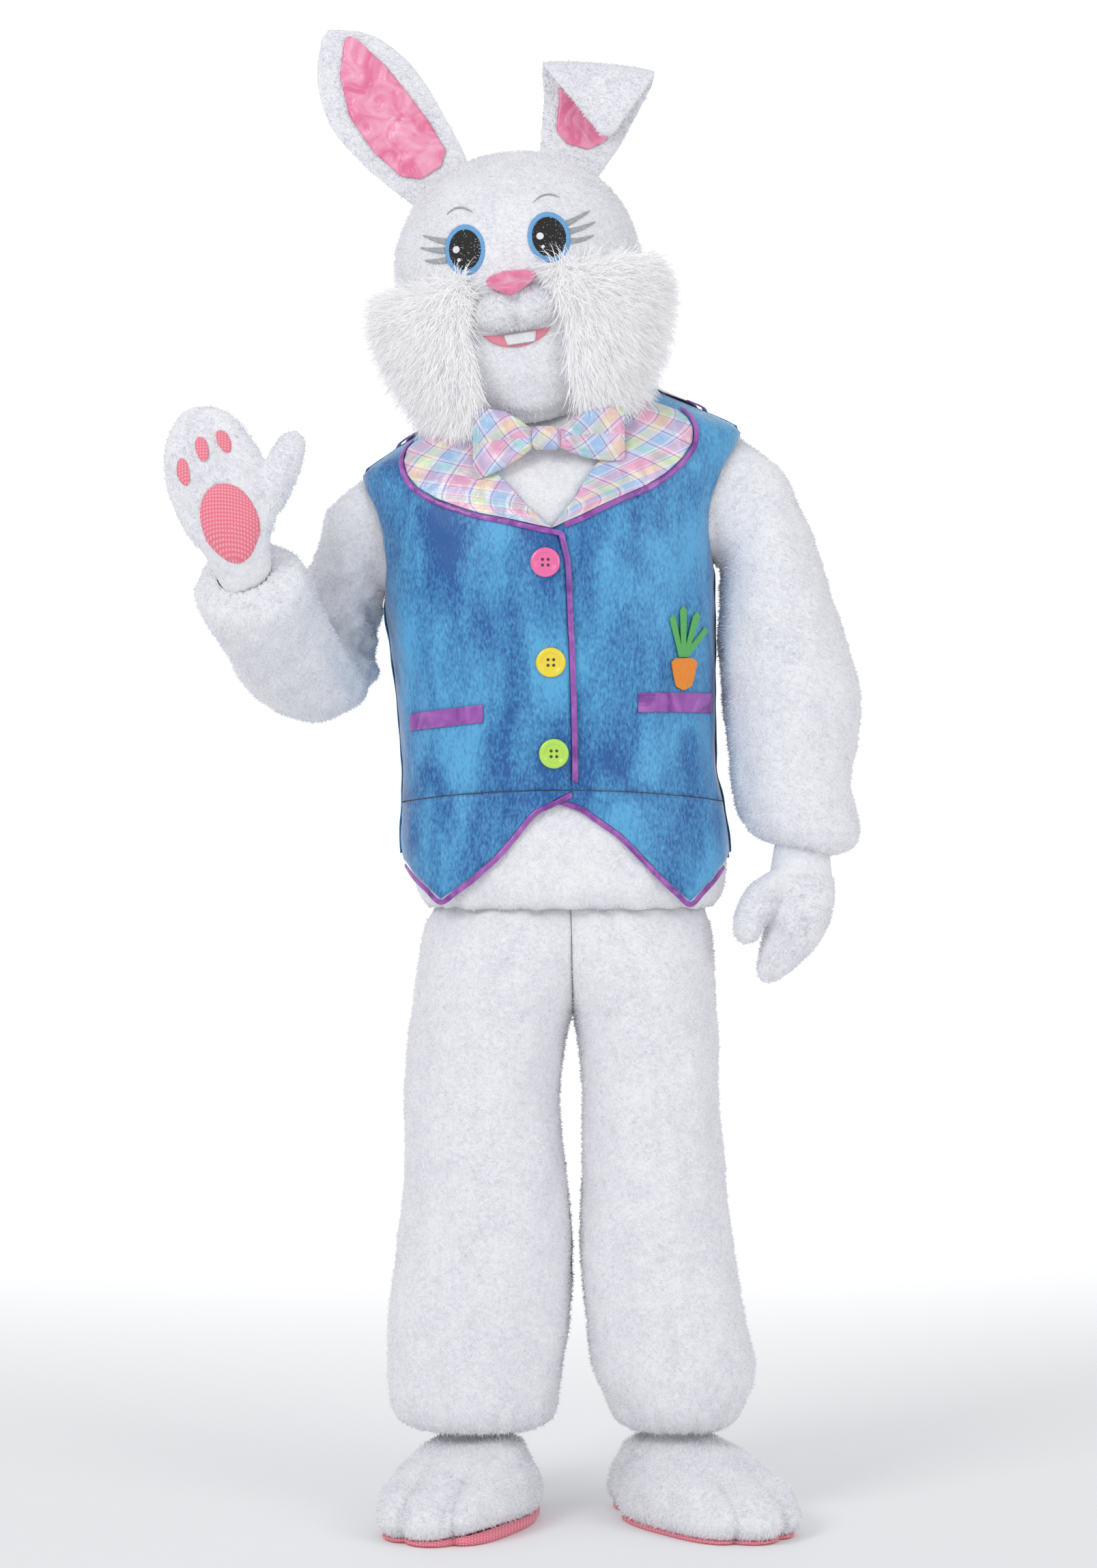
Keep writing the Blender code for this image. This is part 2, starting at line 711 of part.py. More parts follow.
def disc_on_face(name, outline_x, outline_z, centre, thickness, colour, lift=0.5, shares=(1.0,), crown=0.0):
    """A flat or crowned patch on the mask: a pole, rings out to its edge, and rings back underneath."""
    outline_x, outline_z = np.asarray(outline_x, float), np.asarray(outline_z, float)
    rows = []
    for share in (0.0, *shares):
        x = centre[0] + (outline_x - centre[0]) * share
        z = centre[1] + (outline_z - centre[1]) * share
        rows.append(face(x, z, lift + thickness + crown * (1 - share**2)))
    for share in (*shares[::-1], 0.0):
        x = centre[0] + (outline_x - centre[0]) * share
        z = centre[1] + (outline_z - centre[1]) * share
        rows.append(face(x, z, lift))
    return padded(name, rows, colour)


FACE_MIDDLE = 2.0
EYE_ACROSS = 54.0
EYE_HEIGHT = 22.0
EYE_HALF_WIDTH = 26.5
EYE_HALF_HEIGHT = 33.0


def oval(count, half_width, half_height, power=1.0):
    angle = np.arange(count) * 2 * pi / count
    return power_of(np.cos(angle), power) * half_width, power_of(np.sin(angle), power) * half_height


def make_eyes():
    for name, side in (("right", -1), ("left", 1)):
        x, z = oval(14, 1, 1)
        middle_x = FACE_MIDDLE + side * EYE_ACROSS
        ring = []
        for share, lift in ((0.72, 1.0), (0.72, 2.2), (1.0, 2.2), (1.0, 1.0), (0.72, 1.0)):
            ring.append(
                face(middle_x + x * EYE_HALF_WIDTH * share, EYE_HEIGHT + z * EYE_HALF_HEIGHT * share, lift)
            )
        padded(f"eye_ring_{name}", ring, SKY)
        pupil_x = middle_x + x * EYE_HALF_WIDTH * 0.69
        pupil_z = EYE_HEIGHT + z * EYE_HALF_HEIGHT * 0.69
        disc_on_face(f"eye_mesh_{name}", pupil_x, pupil_z, (middle_x, EYE_HEIGHT), 1.0, BLACK, lift=0.8)


MUZZLE_HEIGHT = -61.0


def make_muzzle():
    count = 18
    angle = np.arange(count) * 2 * pi / count
    x = FACE_MIDDLE + np.cos(angle) * 50 * (1 + 0.05 * np.cos(2 * angle))
    z = MUZZLE_HEIGHT + np.sin(angle) * 28 - 3 * np.abs(np.cos(angle))
    rows = []
    for share in (0.0, 0.3, 0.55, 0.78, 0.93, 1.0):
        spot_x = FACE_MIDDLE + (x - FACE_MIDDLE) * share
        spot_z = MUZZLE_HEIGHT + (z - MUZZLE_HEIGHT) * share
        groove = 9 * np.exp(-(((spot_x - FACE_MIDDLE) / 11) ** 2)) * (spot_z < MUZZLE_HEIGHT + 12)
        rows.append(face(spot_x, spot_z, 1.5 + 30 * np.sqrt(max(0, 1 - share**2.2)) - groove * (share < 0.9)))
    for share in (1.0, 0.6, 0.0):
        spot_z = MUZZLE_HEIGHT + (z - MUZZLE_HEIGHT) * share
        rows.append(face(FACE_MIDDLE + (x - FACE_MIDDLE) * share, spot_z, 0.8))
    padded("muzzle", rows, WHITE)


def make_nose():
    half = [(0, -50), (10, -45), (21, -37), (30, -29), (31, -22), (22, -17), (8, -15)]
    outline = np.array(half + [(-x, z) for x, z in half[:0:-1]], float)
    x, z = outline[:, 0] + FACE_MIDDLE, outline[:, 1]
    middle = (FACE_MIDDLE, -28.0)
    rows = []
    for share, rise in ((0.0, 12), (0.5, 11), (0.85, 7), (1.0, 3), (1.0, 0), (0.7, 0), (0.35, 0), (0.0, 0)):
        spot_x = middle[0] + (x - middle[0]) * share
        spot_z = middle[1] + (z - middle[1]) * share
        base = 0.9 + 31 * ease(-24, -41, spot_z) * np.exp(-(((spot_x - FACE_MIDDLE) / 40) ** 4))
        rows.append(face(spot_x, spot_z, base + rise))
    padded("nose", rows, PINK)


LIP_TOP = -94.0


def make_mouth():
    across = np.linspace(-1, 1, 11)
    upper = np.stack([FACE_MIDDLE - 2 + across * 43, LIP_TOP + 3 * across**2], -1)
    lower = upper - np.stack([0 * across, 17 * (1 - across**2) ** 0.7], -1)
    grid = [face(*(upper * (1 - part) + lower * part).T, 2.4) for part in (1, 0.66, 0.33, 0)]
    cloth("lip", grid, PINK, thickness=1.4)
    across = np.linspace(-1, 1, 5)
    middle = FACE_MIDDLE + 1
    rows = [face(middle + across * half, LIP_TOP + drop, 4.8) for half, drop in ((17, -12), (19, -6), (20, 0))]
    cloth("tooth", rows, WHITE, thickness=1.6)


Tuft = namedtuple("Tuft", "angle turn height rim")
CHEEK = [
    Tuft(0, 82, -70, 14),
    Tuft(25, 80, -30, 14),
    Tuft(50, 66, -8, 12),
    Tuft(80, 46, -12, 7),
    Tuft(105, 31, -16, 5),
    Tuft(130, 20, -10, 4),
    Tuft(155, 17, -30, 4),
    Tuft(180, 21, -52, 5),
    Tuft(215, 22, -96, 8),
    Tuft(240, 25, -122, 12),
    Tuft(265, 34, -138, 16),
    Tuft(290, 50, -152, 18),
    Tuft(315, 68, -150, 18),
    Tuft(340, 80, -112, 16),
    Tuft(360, 82, -70, 14),
]
CHEEK_COLUMNS = 26
CHEEK_MIDDLE = (50.0, -72.0)
CHEEK_DEPTH = 34.0


def make_cheeks():
    angle = np.arange(CHEEK_COLUMNS) * 360 / CHEEK_COLUMNS
    turn = through(column(CHEEK, "angle"), column(CHEEK, "turn"), angle)
    height = through(column(CHEEK, "angle"), column(CHEEK, "height"), angle)
    rim = through(column(CHEEK, "angle"), column(CHEEK, "rim"), angle)
    tooth = 1 + 0.025 * np.where(np.arange(CHEEK_COLUMNS) % 2, 1, -1)
    for name, side in (("right", -1), ("left", 1)):
        rows = []
        for share, back in ((0.0, False), (0.4, False), (0.75, False), (1.0, False),
                            (0.97, True), (0.6, True), (0.0, True)):
            jag = np.where(share > 0.9, tooth, 1)
            spot_turn = CHEEK_MIDDLE[0] + (turn - CHEEK_MIDDLE[0]) * share * jag
            spot_height = CHEEK_MIDDLE[1] + (height - CHEEK_MIDDLE[1]) * share * jag
            seat = np.where((share > 0.9) & (np.abs(spot_height + 62) < 32), 0.0, 5)
            under = seat + 10 * (1 - ease(-130, -105, spot_height))
            lift = under if back else 5.0 + rim + (CHEEK_DEPTH - rim) * (1 - share**2)
            rows.append(in_room(local_face(side * spot_turn, spot_height, lift)))
        padded(f"cheek_fur_{name}", rows, WHITE)


# Mitts

Palm = namedtuple("Palm", "x y z half_width half_depth lean")


def palm_rings(table, count, shrink=0.0):
    rings = []
    angle = np.arange(count)[:, None] * 2 * pi / count
    middles = np.array([[row.x, row.y, row.z] for row in table], float)
    forward = unit(np.gradient(middles, axis=0))
    for row, middle, way in zip(table, middles, forward):
        side = np.array([cos(radians(row.lean)), 0, sin(radians(row.lean))])
        side = unit(side - way * (side @ way))
        front = unit(np.cross(side, way))
        wide, deep = row.half_width - shrink, row.half_depth - shrink
        rings.append(middle + np.cos(angle) * side * wide + np.sin(angle) * front * deep)
    return rings


def hollow_mitt(name, main, thumb, wrist_out):
    """A mitt of two joined limbs, hollow and open at the wrist."""
    wall = 3.0
    pieces = []
    for label, table, shrink, count in (
        ("outer", main, 0, 12),
        ("thumb", thumb, 0, 8),
        ("inner", main, wall, 8),
        ("thumb_inner", thumb, wall, 6),
    ):
        rings = palm_rings(table, count, shrink)
        if label == "inner":
            rings[0] = rings[0] + wrist_out * 12
            rings[-1] = rings[-1].mean(0) + (rings[-1] - rings[-1].mean(0)) * 0.8
        rings = capped(rings)
        if label == "outer":
            rings[-1] = rings[-1] + unit(rings[-1] - rings[-3].mean(0)) * 5
        pieces.append(padded(name if label == "outer" else f"{name}_{label}", rings, WHITE))
    for helper, work in ((pieces[1], "UNION"), (pieces[2], "DIFFERENCE"), (pieces[3], "DIFFERENCE")):
        cut = pieces[0].modifiers.new(helper.name, "BOOLEAN")
        cut.operation = work
        cut.object = helper
        collection.objects.unlink(helper)
        cutters.objects.link(helper)
        helper.hide_render = True
        helper.display_type = "WIRE"


RAISED_MITT = [
    Palm(-381, -176, 1218, 26, 26, 12),
    Palm(-387, -195, 1235, 29, 27, 14),
    Palm(-392, -212, 1256, 42, 29, 16),
    Palm(-399, -223, 1288, 57, 29, 18),
    Palm(-411, -231, 1325, 62, 28, 19),
    Palm(-422, -236, 1360, 62, 26, 19),
    Palm(-431, -239, 1392, 53, 22, 20),
    Palm(-438, -240, 1416, 37, 16, 20),
    Palm(-442, -240, 1430, 18, 9, 20),
]
RAISED_THUMB = [
    Palm(-392, -222, 1290, 18, 14, -5),
    Palm(-362, -226, 1308, 22, 17, -25),
    Palm(-343, -231, 1338, 22, 19, -12),
    Palm(-330, -235, 1368, 21, 18, -10),
    Palm(-321, -238, 1391, 16, 14, -8),
    Palm(-318, -239, 1400, 8, 7, -8),
]
HANGING_MITT = [
    Palm(333, -31, 896, 27, 27, 0),
    Palm(332, -33, 874, 28, 28, 0),
    Palm(330, -40, 848, 40, 30, 0),
    Palm(330, -47, 820, 43, 30, 3),
    Palm(325, -54, 790, 42, 29, 8),
    Palm(314, -60, 762, 36, 26, 14),
    Palm(300, -65, 738, 27, 21, 20),
    Palm(287, -68, 718, 18, 15, 26),
    Palm(279, -70, 705, 9, 8, 28),
]
HANGING_THUMB = [
    Palm(312, -50, 838, 18, 18, 30),
    Palm(287, -62, 824, 22, 20, 40),
    Palm(270, -72, 802, 22, 20, 28),
    Palm(260, -78, 780, 20, 18, 15),
    Palm(256, -81, 762, 15, 13, 10),
    Palm(254, -82, 754, 7, 6, 10),
]
Pad = namedtuple("Pad", "name ring_share across half_along half_across")
PADS = [
    Pad("palm", 3.1, 0.0, 38, 36),
    Pad("finger_outer", 5.1, -0.6, 14, 8),
    Pad("finger_middle", 5.7, -0.1, 14, 8),
    Pad("finger_inner", 5.75, 0.42, 14, 8),
]


PALM_PROFILE = ((0.0, 4.4), (0.6, 4.0), (1.0, 2.8), (1.0, 1.6), (0.6, 1.9), (0.0, 1.9))
FINGER_PROFILE = ((0.0, 3.2), (1.0, 2.0), (1.0, 0.8), (0.0, 1.1))


def mitt_point(table, share, across, lift, facing):
    """Point on the palm side of a mitt, at a share of its rings and across from -1 to 1."""
    middles = np.array([[row.x, row.y, row.z] for row in table], float)
    forward = unit(np.gradient(middles, axis=0))
    step = np.arange(len(table))
    middle = np.array([np.interp(share, step, middles[:, axis]) for axis in range(3)])
    way = unit(np.array([np.interp(share, step, forward[:, axis]) for axis in range(3)]))
    lean = np.interp(share, step, column(table, "lean"))
    side = np.array([cos(radians(lean)), 0, sin(radians(lean))])
    side = unit(side - way * (side @ way))
    front = unit(np.cross(side, way)) * facing
    front = front if facing * front[1] < 0 else -front
    wide = np.interp(share, step, column(table, "half_width"))
    deep = np.interp(share, step, column(table, "half_depth"))
    bulge = np.sqrt(max(0, 1 - across**2))
    return middle + side * wide * across + front * (deep * bulge + lift)


def make_mitts():
    for name, main, thumb, out, facing in (
        ("right", RAISED_MITT, RAISED_THUMB, unit([0.24, 0.75, -0.6]), 1),
        ("left", HANGING_MITT, HANGING_THUMB, np.array([0, 0, 1.0]), -1),
    ):
        hollow_mitt(f"mitt_{name}", main, thumb, out)
        length = np.linalg.norm(np.diff([[row.x, row.y, row.z] for row in main], axis=0), axis=1).mean()
        for pad in PADS:
            x, z = oval(12 if pad.name == "palm" else 6, 1, 1)
            rows = []
            profile = PALM_PROFILE if pad.name == "palm" else FINGER_PROFILE
            for size, lift in profile:
                row = []
                for spot_x, spot_z in zip(x * size, z * size):
                    share = pad.ring_share + spot_z * pad.half_along / length
                    wide = np.interp(share, np.arange(len(main)), column(main, "half_width"))
                    half = min(pad.half_across, wide * (0.7 if pad.name == "palm" else 0.19)) / wide
                    row.append(mitt_point(main, share, pad.across + spot_x * half, lift, facing))
                rows.append(row)
            padded(f"pad_{pad.name}_{name}", rows, PINK)


# Vest

Front = namedtuple("Front", "level right_x left_x")
FRONT_EDGE = [
    Front(937, 30, 8),
    Front(1060, 28, 7),
    Front(1180, 23, 4),
    Front(1250, 19, 2),
    Front(1284, 6, 2),
    Front(1297, -8, 12),
    Front(1314, -24, 28),
    Front(1342, -46, 46),
    Front(1368, -69, 67),
    Front(1421, -97, 98),
    Front(1450, -101, 101),
    Front(1470, -92, 93),
]
VEST_LOW = [937, 1000, 1090, 1170]
VEST_HIGH = [1404, 1423, 1448, 1470]


def overlap_rise(x, level):
    """The right front rises over the left one beside the closing edge."""
    return OVERLAP * ease(-42, -14, x) * (1 - ease(1296, 1320, level))


def vest_grid(side, columns=10):
    levels = np.array(VEST_LOW + column(VEST_ARMHOLE, "level") + VEST_HIGH, float)
    outer = side * armhole_turn(VEST_ARMHOLE, levels)
    key = column(FRONT_EDGE, "level")
    edge = through(key, column(FRONT_EDGE, "left_x" if side > 0 else "right_x"), levels)
    inner = turn_at(levels, edge)
    first, last = (inner, outer) if side > 0 else (outer, inner)
    turns, rows = half_panel(levels, first, last, columns)
    rise = WAIST_RISE * np.cos(np.radians(turns)) ** 2 * (1 - ease(WAIST, 1100, rows))
    return turns, rows + rise


def vest_lift(turns, levels, side):
    lift = VEST_INNER + VEST_CLOTH
    if side < 0:
        x = torso(turns, levels)[..., 0]
        return lift + overlap_rise(x, levels)
    return lift + 0 * turns


Hem = namedtuple("Hem", "x level")
RIGHT_HEM = [
    Hem(-190, 870),
    Hem(-168, 842),
    Hem(-136, 812),
    Hem(-101, 838),
    Hem(-68, 868),
    Hem(-20, 925),
    Hem(28, 950),
]
LEFT_HEM = [
    Hem(8, 944),
    Hem(44, 931),
    Hem(93, 896),
    Hem(151, 836),
    Hem(180, 809),
    Hem(208, 838),
    Hem(233, 870),
]


def peplum_edge(hem, count):
    """Points along a peplum's lower edge, as turns and levels."""
    x = np.array(column(hem, "x"), float)
    level = np.array(column(hem, "level"), float)
    step = np.arange(len(hem))
    fine = np.linspace(0, len(hem) - 1, count)
    return np.interp(fine, step, x), np.interp(fine, step, level)


def peplum_grid(hem, side):
    edge_x, edge_level = peplum_edge(hem, 13)
    turns = turn_at(edge_level, edge_x, HANG)
    turns[-1 if side > 0 else 0] = side * 90
    seam = WAIST - 1.5 + WAIST_RISE * np.cos(np.radians(turns)) ** 2
    share = np.array([0, 0.5, 1.0])[:, None]
    return turns + 0 * share, edge_level + (np.maximum(seam, edge_level + 1) - edge_level) * share


def make_vest():
    for name, side in (("right", -1), ("left", 1)):
        turns, levels = vest_grid(side)
        grid = torso(turns, levels, vest_lift(turns, levels, side), HANG) + [0, -SEAM, 0]
        cloth(f"vest_front_{name}", grid, BLUE, thickness=VEST_CLOTH)
        hem = RIGHT_HEM if side < 0 else LEFT_HEM
        turns, levels = peplum_grid(hem, side)
        lift = VEST_INNER + VEST_CLOTH + (0 if side > 0 else 1) * overlap_rise(
            torso(turns, levels, 0, HANG)[..., 0], levels
        )
        grid = torso(turns, levels, lift, HANG) + [0, -SEAM, 0]
        cloth(f"peplum_{name}", grid, BLUE, thickness=VEST_CLOTH)
    levels = np.array([870, 903] + VEST_LOW + column(VEST_ARMHOLE, "level") + VEST_HIGH, float)
    reach = armhole_turn(VEST_ARMHOLE, levels)
    turns, rows = half_panel(levels, 180 - reach, 180 + reach, 11)
    grid = torso(turns, rows, VEST_INNER + VEST_CLOTH + BACK_EASE, HANG) + [0, SEAM, 0]
    cloth("vest_back", grid, BLUE, thickness=VEST_CLOTH)


Lapel = namedtuple("Lapel", "level right_roll right_edge left_roll left_edge")
LAPEL = [
    Lapel(1286, 5, 2, 3, 5),
    Lapel(1291, -1, -14, 7, 19),
    Lapel(1298, -9, -33, 13, 42),
    Lapel(1306, -17, -56, 21, 62),
    Lapel(1316, -26, -88, 30, 90),
    Lapel(1327, -35, -112, 38, 122),
    Lapel(1342, -46, -141, 46, 149),
    Lapel(1360, -62, -165, 61, 170),
    Lapel(1378, -76, -178, 76, 182),
    Lapel(1396, -87, -183, 87, 184),
    Lapel(1410, -93, -180, 94, 177),
    Lapel(1420, -97, -171, 98, 167),
    Lapel(1434, -99, -138, 100, 137),
    Lapel(1448, -100, -106, 101, 106),
]


def lapel_lift(turns, levels, side):
    return vest_lift(turns, levels, side) + LAPEL_GAP + LAPEL_CLOTH


def lapel_grid(side):
    levels = np.array(column(LAPEL, "level"), float)[:, None]
    roll = np.array(column(LAPEL, "left_roll" if side > 0 else "right_roll"), float)[:, None]
    edge = np.array(column(LAPEL, "left_edge" if side > 0 else "right_edge"), float)[:, None]
    share = np.linspace(0, 1, 5)
    x = roll + (edge - roll) * share if side > 0 else edge + (roll - edge) * share
    return turn_at(levels, x), levels + 0 * x


def make_lapels():
    for name, side in (("right", -1), ("left", 1)):
        turns, levels = lapel_grid(side)
        grid = torso(turns, levels, lapel_lift(turns, levels, side)) + [0, -SEAM, 0]
        cloth(f"lapel_{name}", grid, PLAID, thickness=LAPEL_CLOTH)


COLLAR_LIFT = VEST_INNER + VEST_CLOTH + LAPEL_GAP + LAPEL_CLOTH + 6.4
CollarEdge = namedtuple("CollarEdge", "turn low high")
COLLAR = [
    CollarEdge(68, 1450, 1455),
    CollarEdge(74, 1436, 1468),
    CollarEdge(82, 1430, 1474),
    CollarEdge(95, 1426, 1476),
    CollarEdge(120, 1412, 1477),
    CollarEdge(150, 1402, 1478),
    CollarEdge(180, 1399, 1478),
]


def collar_grid():
    half = np.array(column(COLLAR, "turn"), float)
    turns = np.concatenate([half, 360 - half[-2::-1]])
    low, high = (np.array(column(COLLAR, name), float) for name in ("low", "high"))
    low, high = np.concatenate([low, low[-2::-1]]), np.concatenate([high, high[-2::-1]])
    share = np.linspace(0, 1, 6)[:, None]
    return turns + 0 * share, low + (high - low) * share


def make_collar():
    turns, levels = collar_grid()
    cloth("collar", torso(turns, levels, COLLAR_LIFT), PLAID, thickness=LAPEL_CLOTH)


def ribbon(name, middles, normals, half_width, half_thickness, colour=PURPLE):
    """A flat strip with a lens-shaped section along a line of points."""
    middles, normals = np.asarray(middles, float), np.asarray(normals, float)
    forward = unit(np.gradient(middles, axis=0))
    side = unit(np.cross(forward, normals))
    up = unit(np.cross(side, forward))
    angle = np.arange(4) * pi / 2
    rings = [
        m + np.cos(angle)[:, None] * s * half_width + np.sin(angle)[:, None] * u * half_thickness
        for m, s, u in zip(middles, side, up)
    ]
    return padded(name, capped(rings), colour)


BINDING_HALF = 3.6
BINDING_THICK = 1.3
BINDING_GAP = 0.7


def beside(x, level, distance):
    """The line moved sideways, to the right of its own direction when distance is positive."""
    line = np.stack([x, level], -1)
    way = unit(np.gradient(line, axis=0))
    return (line + distance * np.stack([way[:, 1], -way[:, 0]], -1)).T


def surface_line(x, level, lift, table=TORSO):
    turns = turn_at(level, x, table)
    points = torso(turns, level, lift, table)
    return points, unit(torso(turns, level, lift + 1, table) - points)


def make_bindings():
    levels = np.array(column(LAPEL, "level"), float)[::-1]
    lift = VEST_INNER + VEST_CLOTH + BINDING_GAP + BINDING_THICK
    away = BINDING_HALF + BINDING_GAP
    x, level = beside(np.array(column(LAPEL, "right_edge"), float)[::-1][2:-1], levels[2:-1], away)
    front_levels = np.array([1270, 1240, 1200, 1150, 1100, 1050, 1000, 962], float)
    front_x = through(column(FRONT_EDGE, "level"), column(FRONT_EDGE, "right_x"), front_levels) + away
    corner_x, corner_level = np.array([3.0, 15.0]), np.array([1281.0, 1277.0])
    x = np.concatenate([x, corner_x, front_x])
    level = np.concatenate([level, corner_level, front_levels])
    rise = overlap_rise(x, level)
    middles, normals = surface_line(x, level, lift + 0.5 + rise, HANG)
    ribbon("binding_right_front", middles, normals, BINDING_HALF, BINDING_THICK)
    x, level = beside(np.array(column(LAPEL, "left_edge"), float)[::-1][2:-1], levels[2:-1], -away)
    middles, normals = surface_line(x, level, lift + 1.4, HANG)
    ribbon("binding_left_lapel", middles, normals, BINDING_HALF, BINDING_THICK)
    for name, hem, side in (("right", RIGHT_HEM, -1), ("left", LEFT_HEM, 1)):
        x, level = peplum_edge(hem, 13)
        x, level = beside(x, level, away)
        keep = slice(1, None) if side < 0 else slice(0, -1)
        rise = overlap_rise(x, level) if side < 0 else 0 * x
        middles, normals = surface_line(x[keep], level[keep], VEST_INNER + 1.3 + rise[keep], HANG)
        ribbon(f"binding_hem_{name}", middles + [0, -SEAM, 0], normals, BINDING_HALF, BINDING_THICK)
    turns = np.linspace(92, 268, 17)
    middles = torso(turns, 870 - away, VEST_INNER + 0.75, HANG)
    normals = unit(torso(turns, 870 - away, 10, HANG) - middles)
    ribbon("binding_hem_back", middles, normals, BINDING_HALF, BINDING_THICK)
    turns, levels = collar_grid()
    low = levels[0] - away
    middles = torso(turns[0][1:-1], low[1:-1], COLLAR_LIFT + 1.0, TORSO)
    normals = unit(torso(turns[0][1:-1], low[1:-1], COLLAR_LIFT + 5) - middles)
    ribbon("binding_collar", middles, normals, BINDING_HALF, BINDING_THICK)


# Pockets and carrot

Patch = namedtuple("Patch", "name left_x left_level right_x right_level height")
WELTS = [
    Patch("pocket_welt_right", -175, 1045, -82, 1053, 24),
    Patch("pocket_welt_left", 114, 1062, 208, 1060, 24),
]


def panel_patch(name, x, level, lift, thickness, colour):
    grid = torso(turn_at(level, x, HANG), level, lift + thickness, HANG) + [0, -SEAM, 0]
    cloth(name, grid, colour, thickness)


def make_pockets():
    over_vest = VEST_INNER + VEST_CLOTH + 1.7
    for patch in WELTS:
        share = np.linspace(0, 1, 7)
        x = patch.left_x + (patch.right_x - patch.left_x) * share
        middle = patch.left_level + (patch.right_level - patch.left_level) * share
        up = np.array([-0.5, 0.5])[:, None] * patch.height
        panel_patch(patch.name, x + 0 * up, middle + up, over_vest, 1.5, PURPLE)
    share = np.linspace(0, 1, 6)[:, None]
    half = 7 + 10 * share**0.6
    half[-1] = 12
    across = np.linspace(-1, 1, 5)
    x = 171 + half * across
    level = 1076 + 38 * share + 0 * across
    panel_patch("carrot_root", x, level, over_vest, 2.0, ORANGE)
    make_leaves(over_vest)


LEAVES = [(-15, 1164), (-1, 1174), (15, 1166), (25, 1148)]


def make_leaves(over_vest):
    """Four narrow leaves that fan out from the carrot, cut as one outline."""
    base_x, base_level = 171.0, 1115.5
    outline_x, outline_level = [base_x - 6], [base_level]
    for index, (across, top) in enumerate(LEAVES):
        x = base_x + across
        outline_x += [x - 4, x + 4]
        outline_level += [top, top]
        if index < 3:
            outline_x.append(base_x + (across + LEAVES[index + 1][0]) * 0.22)
            outline_level.append(base_level + 14)
    outline_x.append(base_x + 6)
    outline_level.append(base_level)
    low_x = base_x + np.linspace(-6, 6, len(outline_x))
    grid_x = np.stack([low_x, outline_x])
    grid_level = np.stack([np.full(len(outline_x), base_level - 0.2), outline_level])
    share = np.array([0, 0.5, 1])[:, None]
    x = grid_x[0] * (1 - share) + grid_x[1] * share
    level = grid_level[0] * (1 - share) + np.maximum(grid_level[1], base_level) * share
    panel_patch("carrot_leaves", x, level, over_vest, 2.0, GREEN)


# Buttons

Button = namedtuple("Button", "name x level gap colour")
BUTTONS = [
    Button("top", -4, 1243, 0.6, PINK),
    Button("middle", 3, 1116, 0.6, YELLOW),
    Button("bottom", 7, 999, 1.6, LIME),
]
BUTTON_HOLE = 2.0
BUTTON_HOLE_SPREAD = 3.6


def make_button(button):
    turn = turn_at(button.level, button.x)
    lift = VEST_INNER + VEST_CLOTH + OVERLAP + button.gap
    place = torso(turn, button.level, lift)
    normal = unit(torso(turn, button.level, lift + 1) - place)
    profile = [(0, 2.6), (11.5, 2.6), (13.5, 4.6), (17.5, 4.6), (19, 3), (19, 1.2), (17.5, 0), (0, 0)]
    steps = 14
    rings = []
    for radius, height in profile[1:-1]:
        angle = np.arange(steps) * 2 * pi / steps
        rings.append(np.stack([np.cos(angle) * radius, np.sin(angle) * radius, np.full(steps, height)], -1))
    rings = [np.zeros((steps, 3)) + [0, 0, profile[0][1]], *rings, np.zeros((steps, 3))]
    side = unit(np.cross([0, 0, 1.0], normal))
    up = np.cross(normal, side)
    frame = np.stack([side, up, normal])
    body = padded(f"button_{button.name}", [place + ring @ frame for ring in rings], button.colour)
    for index, (x, y) in enumerate(((-1, -1), (1, -1), (1, 1), (-1, 1))):
        angle = np.arange(4) * pi / 2
        ring = np.stack([np.cos(angle), np.sin(angle), 0 * angle], -1) * BUTTON_HOLE
        ring = ring + [x * BUTTON_HOLE_SPREAD, y * BUTTON_HOLE_SPREAD, 0]
        hole = padded(
            f"button_{button.name}_hole_{index}",
            capped([place + (ring + [0, 0, depth]) @ frame for depth in (-3, 8)]),
            button.colour,
        )
        collection.objects.unlink(hole)
        cutters.objects.link(hole)
        hole.hide_render = True
        hole.display_type = "WIRE"
        cut = body.modifiers.new("Hole", "BOOLEAN")
        cut.operation = "DIFFERENCE"
        cut.object = hole


# Bow tie

Wing = namedtuple("Wing", "x z half_height half_depth y")
BOW_WINGS = {
    "right": [
        Wing(-21.5, 1402, 13, 5, -139.5),
        Wing(-36, 1402, 24, 8, -141.5),
        Wing(-56, 1401, 36, 9, -141.5),
        Wing(-78, 1398, 43, 8, -138.5),
        Wing(-92, 1396, 46, 5, -133.5),
        Wing(-97, 1395, 45, 2, -131.5),
    ],
    "left": [
        Wing(15, 1404, 13, 5, -139.5),
        Wing(30, 1406, 22, 8, -141.5),
        Wing(52, 1408, 31, 9, -141.5),
        Wing(76, 1409, 35, 8, -137.5),
        Wing(92, 1409, 34, 5, -132.5),
        Wing(98, 1408, 33, 2, -130.5),
    ],
}


